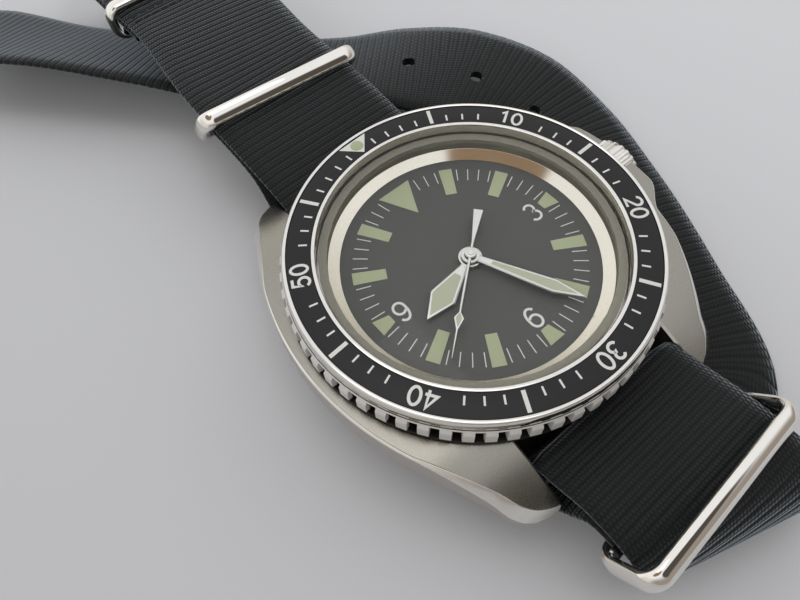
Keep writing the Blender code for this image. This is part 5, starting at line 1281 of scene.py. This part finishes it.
@dataclass
class Face:
    """Crystal, rehaut, dial with its marks, and the three hands."""

    dial_z: float = 11.45
    dial_thick: float = 0.4
    dial_radius: float = 15.2
    dial_bore: float = 1.25
    lume_outer: float = 12.63
    hand_thick: float = 0.2

    def flat(self, radius: Array) -> Array:
        """Height of the dial, the same at each radius."""
        return np.full_like(np.asarray(radius, float), self.dial_z)

    def build(self) -> None:
        """Make every piece of the face."""
        self.crystal()
        self.rehaut()
        self.dial()
        self.hands()

    def crystal(self) -> None:
        """Flat-domed crystal: a plug, a flange, a bevel and a low dome that falls as the radius squared."""
        edge, level, rise = 15.55, 15.25, 0.15
        radius = np.linspace(edge, 0.0, 14)
        dome = np.column_stack([radius, level + rise * (1 - (radius / edge) ** 2)])
        rim = np.array([(0.0, 13.2), (14.9, 13.2), (14.95, 13.25), (14.95, 13.75), (15.85, 13.75),
                        (15.9, 13.8), (15.9, 14.95), (15.86, 15.04), (15.68, 15.2)])
        shell = Shell()
        shell.grid(turned(np.vstack([rim, dome])), rows_close=True, cols_close=False)
        Piece("crystal_dome", shell, Body.WATCH, (CRYSTAL,), "crystal_glass", ("crystal",), 12.0).make()

    def rehaut(self) -> None:
        """Polished ring with a shallow slope round the dial and a duller wall up to the crystal."""
        corners = np.array([(13.85, 11.5), (15.08, 12.15), (15.12, 13.12), (15.2, 13.12), (15.2, 11.5)])
        profile = rounded(corners, 0.05, 4)
        looks = np.zeros(len(profile), int)
        looks[5:11] = 1
        shell = Shell()
        shell.grid(turned(profile), rows_close=True, look=looks)
        Piece("rehaut_slope", shell, Body.WATCH, (STEEL_RING, STEEL_WALL), "polished_steel",
              ("rehaut_ring",)).make()

    def dial(self) -> None:
        """Matt black dial, its white track and numbers, and its luminous blocks."""
        low, high, bore, radius = self.dial_z - self.dial_thick, self.dial_z, self.dial_bore, self.dial_radius
        profile = np.array([(bore, low), (radius, low), (radius, high), (bore, high)])
        shell = Shell()
        shell.grid(turned(profile), rows_close=True)
        Piece("dial_plate", shell, Body.WATCH, (DIAL_BLACK,), "dial_black", ("dial",)).make()
        track, lume = Shell(), Shell()
        minutes = np.arange(60)
        lines = minutes[(minutes % 5 != 0) & ~np.isin(minutes, [59, 1])]
        blocks(track, clock(lines * 6.0), 10.9, 12.5, 0.10, 0.10, SUNK, PRINTED, self.flat)
        hours, quarters, outer = np.array([1, 2, 4, 5, 7, 8, 10, 11]), np.array([3, 6, 9]), self.lume_outer
        blocks(lume, clock(hours * 30.0), 9.0, outer, 1.25, 1.5, SUNK, FILLED, self.flat)
        blocks(lume, clock(quarters * 30.0), 10.8, outer, 1.05, 1.95, SUNK, FILLED, self.flat)
        wedge = np.array([(-2.15, outer), (0.0, 8.3), (2.15, outer)])
        lume.prism(wedge, high + SUNK, high + FILLED)
        figures = Figures(0.58, 0.125)
        for text, x, y in (("3", 9.5, 0.0), ("6", 0.0, -9.3), ("9", -9.5, 0.0)):
            put = partial(self.upright, at=(x, y, 0.0))
            figures.write(track, text, 2.2, 0.2, put, high + SUNK, high + 0.02)
        Piece("dial_track", track, Body.WATCH, (PRINT_WHITE,), "lume").make()
        Piece("dial_lume", lume, Body.WATCH, (LUME,), "lume").make()

    @staticmethod
    def upright(points: Array, at: Sequence[float]) -> Array:
        """Points of a numeral, moved to a place."""
        return points + np.asarray(at)

    @staticmethod
    def blade(shell: Shell, outline: Sequence[tuple[float, float]], z: float, thick: float, bevel: float,
              angle: float) -> None:
        """Add a strip along a hand, with bevelled upper edges.

        Its section, carried along the hand, is a low box whose top is narrower by the bevel.

        Args:
            shell: shell that gets it.
            outline: (along, half width) from one end to the other.
            z: underside.
            thick: thickness.
            bevel: width of the bevel.
            angle: clock angle of the hand.
        """
        along, half = np.array(outline).T
        half = np.maximum(half, 0.02)
        top = np.maximum(half - bevel, 0.3 * half)
        side = np.stack([-half, half, half, top, -top, -half], 1)
        rise = np.broadcast_to(z + thick * np.array([0.0, 0.0, 0.5, 1.0, 1.0, 0.5]), side.shape)
        turn = math.radians(-angle)
        reach = np.broadcast_to(along[:, None], side.shape)
        points = np.stack([side * math.cos(turn) - reach * math.sin(turn),
                           side * math.sin(turn) + reach * math.cos(turn), rise], -1)
        shell.grid(points, caps=True)

    @staticmethod
    def boss(shell: Shell, radius: float, bore: float, z: float, thick: float) -> None:
        """Add a hub ring with softened edges."""
        profile = rounded(np.array([(bore, z), (radius, z), (radius, z + thick), (bore, z + thick)]), 0.05, 4)
        shell.grid(turned(profile, 64), rows_close=True)

    def hands(self) -> None:
        """Three hands with luminous fillings."""
        for hand in HANDS:
            metal, filling = Shell(), Shell()
            self.blade(metal, hand.blade, hand.z, self.hand_thick, hand.bevel, hand.angle)
            for radius, bore, lift, thick in hand.hubs:
                self.boss(metal, radius, bore, hand.z + lift, thick)
            self.blade(filling, hand.filling, hand.z + hand.filling_lift, hand.filling_thick,
                       hand.filling_bevel, hand.angle)
            Piece(f"{hand.name}_blade", metal, hand.body, (STEEL_HAND,), "hand_steel",
                  (f"{hand.name}_hand",)).make()
            Piece(f"{hand.name}_filling", filling, hand.body, (LUME_HAND,), "lume").make()


@dataclass
class Crown:
    """Fluted crown on the 3 o'clock side."""

    radius: float = 3.5
    start: float = 20.9
    axis_z: float = CROWN_Z
    flutes: int = 24
    depth: float = 0.28

    def build(self) -> None:
        """Crown: a profile turned about X, the radius of its side rows rippled by a squared-off cosine."""
        count = self.flutes * 12
        angle = np.linspace(0.0, 2 * math.pi, count, endpoint=False)[:, None]
        wave = np.clip(0.5 + 1.1 * np.cos(self.flutes * angle), 0.0, 1.0)
        side, start = self.radius - self.depth, self.start
        rows = np.array([
            (0.0, 23.3, 0), (1.9, 23.3, 0), (1.9, start + 0.05, 0), (1.95, start, 0), (3.08, start, 0),
            (3.12, start + 0.04, 0), (3.12, 21.38, 0), (3.2, 21.42, 0.6), (side, 21.55, 1), (side, 22.8, 1),
            (side, 24.2, 1), (3.2, 24.5, 1), (3.12, 24.72, 0.7), (3.0, 24.85, 0.2), (2.9, 24.95, 0),
            (2.6, 25.1, 0), (2.1, 25.25, 0), (1.4, 25.34, 0), (0.7, 25.38, 0), (0.0, 25.4, 0)])
        radius = rows[None, :, 0] + self.depth * wave * rows[None, :, 2]
        points = np.stack([rows[None, :, 1] + 0.0 * angle, radius * np.cos(angle),
                           self.axis_z + radius * np.sin(angle)], -1)
        shell = Shell()
        shell.grid(points, rows_close=True, cols_close=False)
        Piece("crown_fluted", shell, Body.CROWN, (STEEL_POLISHED,), "polished_steel", ("crown",), 30.0).make()


@dataclass
class Strap:
    """One-piece ribbed strap with its sewn flap, steel keepers and pin buckle."""

    width: float = 20.0
    thick: float = 1.2
    bar_y: float = 20.9
    bar_z: float = 7.2
    bar_wrap: float = 1.45
    keeper_y: float = 36.6
    keeper_level: float = 10.15
    buckle_y: float = 80.0
    buckle_z: float = 6.6
    buckle_wrap: float = 1.6
    sewn_gap: float = 1.4
    layer: float = 1.3
    low: float = 1.9
    tail_z: float = -0.7
    fold_y: float = -30.3
    fold_bearing: float = -17.0
    rib: float = 1.05
    holes: int = 8
    first_hole: float = 43.7
    hole_pitch: float = 9.9
    slot_half: float = 1.3
    sewn_keeper_y: float = 65.0

    def sway(self, y: Array) -> Array:
        """Sideways shift towards the buckle, a smooth step."""
        share = np.clip((np.asarray(y, float) - 40.0) / 22.0, 0.0, 1.0)
        return 1.8 * share ** 2 * (3 - 2 * share)

    def height(self, y: Array) -> Array:
        """Height of the strap's middle on the 12 o'clock side: a rise to the keeper, then a parabola down.

        Args:
            y: places along Y.

        Returns:
            The height at each.
        """
        y = np.asarray(y, float)
        lift = self.bar_z + self.bar_wrap
        fall = np.maximum(y - self.keeper_y, 0.0) / (self.buckle_y - self.keeper_y)
        rise = np.minimum((y - self.bar_y) / (self.keeper_y - self.bar_y), 1.0)
        return lift + (self.keeper_level - lift) * rise * (2 - rise) - (
            self.keeper_level - self.buckle_z - self.buckle_wrap) * fall ** 2

    def line(self, points: Any) -> Array:
        """Rows along the watch axis, which lie square across it.

        Args:
            points: (n, 2) places along Y and heights.

        Returns:
            (n, 6) rows of a place and a direction across.
        """
        y, z = np.asarray(points, float).T
        one, none = np.ones_like(y), np.zeros_like(y)
        return np.column_stack([self.sway(y), y, z, one, none, none])

    def wrap(self, y: float, z: float, radius: float, start: float, end: float, count: int) -> Array:
        """Rows round a cross bar."""
        return self.line(polar(radius, np.linspace(start, end, count)) + np.array([y, z]))

    def under(self, side: float) -> Array:
        """Rows from a fixed bar down to the case back.

        Args:
            side: 1 for the 12 o'clock side, -1 for the other.

        Returns:
            (n, 6) rows of a place and a direction across.
        """
        bar = self.bar_y - self.bar_wrap
        points = np.array([(bar, self.bar_z), (bar, 5.0), (19.35, 3.7), (18.8, 2.75), (18.05, 2.12),
                           (16.9, self.low)])
        return self.line(points * np.array([side, 1.0]))

    def fold(self) -> Array:
        """Half turn about a level axis at an angle, drifting along it as the turn goes on.

        Returns:
            (n, 6) rows of a place and a direction across.
        """
        radius = (self.keeper_level - self.tail_z) / 2
        turn = math.radians(self.fold_bearing)
        axis = np.array([math.cos(turn), math.sin(turn), 0.0])
        out = np.array([math.sin(turn), -math.cos(turn), 0.0])
        angle = np.linspace(0.0, math.pi, 13)[:, None]
        middle = np.array([0.0, self.fold_y, self.keeper_level - radius])
        drift = axis * (-math.tan(turn) * radius * angle)
        place = middle + drift + radius * (np.sin(angle) * out + np.cos(angle) * np.array([0.0, 0.0, 1.0]))
        leave = -math.sin(turn) * axis - math.cos(turn) * out
        level = math.cos(turn) * axis - math.sin(turn) * out
        rows = np.hstack([place, np.broadcast_to(axis / math.cos(turn), place.shape)])
        return np.vstack([rows, np.concatenate([place[-1] + 5.0 * leave, level])])

    def tail(self) -> Array:
        """Rows along the free end, which lies on the table and passes under the strap.

        Returns:
            (n, 6) rows of a place and a direction across.
        """
        rows = np.array([
            (12.2, -24.6, -0.7, 0.87, -0.49, 0.0), (19.6, -11.3, -0.7, 0.90, -0.43, 0.0),
            (25.7, 2.6, -0.6, 0.95, -0.31, 0.0), (28.7, 12.0, 0.4, 0.99, -0.08, -0.05),
            (28.6, 19.8, 1.7, 0.97, 0.20, 0.02), (25.2, 27.8, 3.2, 0.87, 0.48, -0.03),
            (18.7, 35.3, 4.0, 0.80, 0.58, -0.16), (11.4, 42.2, 3.1, 0.76, 0.58, -0.24),
            (4.3, 49.5, 2.4, 0.74, 0.62, -0.26), (-6.1, 61.0, 3.4, 0.70, 0.61, -0.37),
            (-16.3, 72.7, 4.3, 0.68, 0.60, -0.42), (-24.0, 82.2, 4.4, 0.72, 0.62, -0.31),
            (-29.0, 88.0, 4.3, 0.74, 0.63, -0.24)])
        rows[:, 3:] /= np.linalg.norm(rows[:, 3:], axis=1, keepdims=True)
        return rows

    def route(self) -> Array:
        """Rows of the whole main strap, from its sewn end to the tip.

        Returns:
            (n, 6) rows of a place and a direction across.
        """
        sewn = np.linspace(60.0, 75.0, 4)
        run = np.linspace(75.0, 22.4, 15)
        lead = self.width / 2 * math.tan(math.radians(-self.fold_bearing))
        rise = self.line([(-23.5, 9.25), (self.fold_y + lead + 0.5, self.keeper_level - 0.1)])
        rise[:, 4] = math.tan(math.radians(self.fold_bearing)) * np.array([0.25, 0.62])
        return np.vstack([
            self.line(np.column_stack([sewn, self.height(sewn) - self.sewn_gap])),
            self.wrap(self.buckle_y, self.buckle_z, self.buckle_wrap, -115.0, 95.0, 13),
            self.line(np.column_stack([run, self.height(run)])),
            self.wrap(self.bar_y, self.bar_z, self.bar_wrap, 90.0, 165.0, 6),
            self.under(1.0), self.under(-1.0)[::-1],
            self.wrap(-self.bar_y, self.bar_z, self.bar_wrap, 15.0, 90.0, 6),
            rise, self.fold(), self.tail()])

    def flap_route(self) -> Array:
        """Rows of the short layer under the case.

        Returns:
            (n, 6) rows of a place and a direction across.
        """
        far, near, flat = self.keeper_y + 3.6, self.keeper_y - 4.4, 16.7
        return self.line([
            (far, float(self.height(far)) - self.layer), (near, float(self.height(near)) - self.layer),
            (27.9, 7.8), (24.5, 3.6), (19.9, 0.95), (flat, 0.6), (0.0, 0.6), (-flat, 0.6), (-21.3, 1.5),
            (-24.5, 5.4), (-26.9, 8.55), (self.fold_y + 1.2, 8.58)])

    @staticmethod
    def dense(rows: Array, step: float) -> tuple[Array, Array]:
        """Even stations along a smooth curve through rows.

        Between two rows it is the cubic that meets both, with slopes weighted by the chords beside them.

        Args:
            rows: (n, 6) places and directions across.
            step: distance between stations.

        Returns:
            The (m, 6) stations and their (m,) distances along the curve.
        """
        keep = np.concatenate([[True], np.linalg.norm(np.diff(rows[:, :3], axis=0), axis=1) > 0.05])
        rows = rows[keep]
        chord = np.linalg.norm(np.diff(rows[:, :3], axis=0), axis=1)
        reach = np.concatenate([[0.0], np.cumsum(chord)])
        slope = np.diff(rows, axis=0) / chord[:, None]
        before, after = chord[:-1, None], chord[1:, None]
        inner = (slope[:-1] * after + slope[1:] * before) / (before + after)
        slopes = np.vstack([slope[:1], inner, slope[-1:]])
        at = np.linspace(0.0, reach[-1], int(reach[-1] / step) + 1)
        k = np.clip(np.searchsorted(reach, at, "right") - 1, 0, len(chord) - 1)
        h = chord[k][:, None]
        t = (at[:, None] - reach[k][:, None]) / h
        found = ((2 * t ** 3 - 3 * t ** 2 + 1) * rows[k] + (t ** 3 - 2 * t ** 2 + t) * h * slopes[k]
                 + (3 * t ** 2 - 2 * t ** 3) * rows[k + 1] + (t ** 3 - t ** 2) * h * slopes[k + 1])
        return found, at

    def ribbon(self, stations: Array, reach: Array, widths: Array) -> Shell:
        """Closed band: a section with round edges carried along stations, swelling over each rib.

        The rib's height is a rectified sine of the distance along the band. A line across the cloth stays
        square to its edges: where a station's own line runs ahead of that, each column takes its point from a
        station further on or back.

        Args:
            stations: (n, 6) places and directions across.
            reach: (n,) distances along.
            widths: (n,) widths.

        Returns:
            The band's shell, mapped by (across, along).
        """
        place, across = stations[:, :3], stations[:, 3:]
        ahead = np.gradient(place, reach, axis=0)
        ahead /= np.linalg.norm(ahead, axis=1, keepdims=True)
        normal = np.cross(across, ahead)
        normal /= np.linalg.norm(normal, axis=1, keepdims=True)
        swell = np.abs(np.sin(math.pi * reach / self.rib)) ** 0.8
        swell = swell * (0.8 + 0.2 * np.abs(np.sin(2 * math.pi * reach / self.rib)))
        half, edge = self.thick / 2 - 0.105 + 0.085 * swell, 0.05 * swell
        share = np.linspace(-1.0, 1.0, 13)
        upper = np.where(np.abs(share) < 1.0, 1.0, 0.55)
        spread = np.concatenate([share, [1.0], share[::-1], [-1.0]])
        lift = np.concatenate([upper, [0.0], -upper, [0.0]])
        bulge = np.where(lift == 0.0, spread, 0.0) * (0.05 + edge[:, None])
        side = (widths[:, None] / 2 - 0.12) * spread + bulge
        lead = reach[:, None] + spread * self.width / 2 * (across * ahead).sum(1)[:, None]
        data = np.hstack([place, across, normal])
        found = np.stack([self.pick(reach, column, data) for column in lead.T], 1)
        points = found[..., :3] + found[..., 3:6] * side[..., None]
        points = points + found[..., 6:] * (half[:, None] * lift)[..., None]
        flat = np.stack([side, np.broadcast_to(reach[:, None], side.shape)], -1)
        shell = Shell()
        shell.grid(points, caps=True, flat=flat)
        return shell

    @staticmethod
    def pick(reach: Array, lead: Array, data: Array) -> Array:
        """Rows of data from the places where a column's own distance equals each distance along."""
        at = np.interp(reach, np.maximum.accumulate(lead), reach)
        return np.stack([np.interp(at, reach, part) for part in data.T], -1)

    def build(self) -> None:
        """Make both layers, the keepers, the buckle and the stitching."""
        self.main()
        self.flap()
        self.keepers()
        self.buckle()
        self.stitches()

    def stitches(self) -> None:
        """Two rows of stitches through the sewn end.

        Each is an ellipsoid: (a cos u, b sin u cos v, b sin u sin v).
        """
        u, v = np.meshgrid(np.linspace(0.0, math.pi, 9), np.linspace(0.0, 2 * math.pi, 16, endpoint=False))
        grain = np.stack([0.55 * np.cos(u), 0.16 * np.sin(u) * np.cos(v), 0.16 * np.sin(u) * np.sin(v)], -1)
        shell = Shell()
        for y in (61.0, 62.3):
            for x in np.linspace(-8.4, 8.4, 13):
                at = np.array([x + float(self.sway(y)), y, float(self.height(y)) + self.thick / 2 - 0.04])
                shell.grid(grain + at, rows_close=True, cols_close=False)
        Piece("strap_stitches", shell, Body.WATCH, (THREAD,), "woven_nylon").make()

    def main(self) -> None:
        """Main strap with eight holes and the tongue's slot."""
        stations, reach = self.dense(self.route(), self.rib / 8)
        left = np.clip(1 - (reach[-1] - reach) / 8.0, 0.0, 1.0)
        widths = self.width * np.where(left > 0, 0.35 + 0.65 * np.sqrt(1 - left ** 2), 1.0)
        piece = Piece("strap_main", self.ribbon(stations, reach, widths), Body.WATCH, (NYLON,), "woven_nylon",
                      ("main_strap",), 75.0)
        strap = piece.loose()
        for number in range(self.holes):
            left_over = reach[-1] - reach - self.first_hole - self.hole_pitch * number
            carve(strap, self.hole(stations, int(np.argmin(np.abs(left_over)))))
        slot = Shell()
        middle, reach_y = float(self.sway(self.buckle_y)), self.buckle_wrap + self.thick
        near, far = middle - self.slot_half, middle + self.slot_half
        start, end = self.buckle_y - reach_y, self.buckle_y + reach_y
        slot.prism(np.array([(near, start), (far, start), (far, end), (near, end)]), 0.8, 12.4)
        carve(strap, slot)
        piece.settle(strap)

    @staticmethod
    def hole(stations: Array, k: int) -> Shell:
        """Round tool through the strap at one station.

        Args:
            stations: (n, 6) places and directions across.
            k: number of the station.

        Returns:
            The closed tool.
        """
        ahead = stations[k + 1, :3] - stations[k - 1, :3]
        across = stations[k, 3:]
        normal = np.cross(across, ahead)
        normal /= np.linalg.norm(normal)
        ahead /= np.linalg.norm(ahead)
        ring = polar(1.0, np.linspace(0.0, 360.0, 28, endpoint=False))
        disc = stations[k, :3] + ring[:, :1] * across + ring[:, 1:] * ahead
        tool = Shell()
        tool.grid(np.stack([disc - 1.5 * normal, disc + 1.5 * normal]), caps=True)
        return tool

    def flap(self) -> None:
        """Short layer that holds the keepers under the case."""
        stations, reach = self.dense(self.flap_route(), self.rib / 8)
        shell = self.ribbon(stations, reach, np.full(len(reach), self.width))
        strap = Piece("strap_flap_layer", shell, Body.WATCH, (NYLON,), "woven_nylon", ("strap_flap",),
                      75.0).make()

    @staticmethod
    def keeper(name: str, node: str, at: Sequence[float], height: float, lean: float, skew: float) -> None:
        """Ring of oval wire: an ellipse carried round a box with round corners, then leant and turned.

        Args:
            name: name of the piece.
            node: solid that it stands for.
            at: its middle.
            height: height between the middles of its upper and lower wires.
            lean: turn about X in degrees.
            skew: turn about Z in degrees.
        """
        half_x, half_z, corner = 9.4, height / 2 - 1.5, 1.5
        quarter = np.linspace(0.0, 90.0, 13)
        centres = np.array([(half_x, half_z), (-half_x, half_z), (-half_x, -half_z), (half_x, -half_z)])
        turn = np.radians(np.concatenate([quarter + 90.0 * k for k in range(4)]))[:, None]
        centre = np.repeat(centres, 13, 0)[:, None]
        round_wire = np.radians(np.linspace(0.0, 360.0, 28, endpoint=False))[None]
        out = corner + 0.6 * np.sign(np.cos(round_wire)) * np.abs(np.cos(round_wire)) ** 0.85
        aside = 1.1 * np.sign(np.sin(round_wire)) * np.abs(np.sin(round_wire)) ** 0.85
        points = np.stack([centre[..., 0] + out * np.cos(turn), aside + 0.0 * turn,
                           centre[..., 1] + out * np.sin(turn)], -1)
        spin = (Matrix.Rotation(math.radians(skew), 3, "Z") @ Matrix.Rotation(math.radians(lean), 3, "X"))
        shell = Shell()
        shell.grid(points @ np.array(spin).T + np.array(at), rows_close=True)
        Piece(name, shell, Body.WATCH, (STEEL_MIRROR,), "polished_steel", (node,), 50.0).make()

    def keepers(self) -> None:
        """Three keepers: two that lean on the strap and one by the buckle."""
        self.keeper("keeper_end_ring", "keeper_end", (0.0, -30.6, 9.5), 6.2, 38.0, 3.6)
        self.keeper("keeper_middle_ring", "keeper_middle", (0.0, self.keeper_y, 9.5), 6.2, 38.0, -5.6)
        y, half = self.sewn_keeper_y, 2.0
        slope = math.degrees(math.atan2(float(self.height(y + half) - self.height(y - half)), 2 * half))
        place = (float(self.sway(y)), y, float(self.height(y)) - self.sewn_gap / 2)
        wire, play = 1.2, 0.5
        self.keeper("keeper_buckle_ring", "keeper_buckle", place, self.thick + self.sewn_gap + wire + play,
                    slope, 0.0)

    def buckle(self) -> None:
        """Buckle frame and tongue, with rounded edges."""
        x, y, z = float(self.sway(self.buckle_y)), self.buckle_y, self.buckle_z
        bend = polar(1.6, np.linspace(0.0, 90.0, 9)) + np.array([10.5, 8.0])
        right = np.vstack([[(10.3, -1.6), (12.1, -1.6)], bend])
        left = right[::-1] * np.array([-1.0, 1.0])
        inner = polar(0.8, np.linspace(180.0, 90.0, 7)) + np.array([-9.5, 6.8])
        outline = np.vstack([right, left, inner, inner[::-1] * np.array([-1.0, 1.0])])
        shell = Shell()
        shell.prism(outline + np.array([x, y]), z - 1.0, z + 1.0)
        piece = Piece("buckle_frame_bow", shell, Body.BUCKLE, (STEEL_POLISHED,), "polished_steel",
                      ("buckle_frame",), 60.0)
        bow = piece.loose()
        soften(bow, 0.45, 4, 50.0)
        carve(bow, cross_bore(0.95, (x - 13.0, x + 13.0), y, z))
        piece.settle(bow)
        self.tongue(x, y, z)

    def tongue(self, x: float, y: float, z: float) -> None:
        """Tongue: a loop round the bar and a blade that rests on the frame.

        Args:
            x: X of the strap's middle at the bar.
            y: Y of the bar.
            z: height of the bar.
        """
        start = math.degrees(math.acos(1.1 / 1.7))
        loop = polar(1.7, np.linspace(start, 360.0, 28))[:-1]
        side = np.vstack([[(1.8, 0.0), (1.8, 8.8), (1.35, 9.4), (1.1, 9.4)], loop])
        upright = side[:, ::-1] + np.array([y, z])
        rows = [np.column_stack([np.full(len(side), x + s), upright]) for s in (-1.1, 1.1)]
        shell = Shell()
        shell.grid(np.stack(rows), caps=True)
        piece = Piece("buckle_tongue_pin", shell, Body.TONGUE, (STEEL_POLISHED,), "polished_steel",
                      ("buckle_tongue",), 50.0)
        pin = piece.loose()
        soften(pin, 0.25, 3, 40.0)
        carve(pin, cross_bore(1.0, (x - 2.0, x + 2.0), y, z))
        piece.settle(pin)


def dress_nodes() -> None:
    """Give each solid that stays in view the finish of its slot."""
    slots = {part["node"]: part["material_slot"] for part in frame["record"]["subparts"]}
    for name, item in frame["nodes"].items():
        item.data.materials.clear()
        item.data.materials.append(SLOT_FINISH[slots[name]].material())
        LOG.info("%s: solid in %s", name, slots[name])


def main() -> None:
    """Build the stage and each part of the watch in order."""
    logging.basicConfig(level=logging.INFO, format="%(name)s: %(message)s")
    builders: Iterable[Any] = (Stage(), Case(), Bezel(), Face(), Crown(), Strap())
    dress_nodes()
    for builder in builders:
        builder.build()
        LOG.info("%s done", type(builder).__name__)


if __name__ == "__main__":
    main()
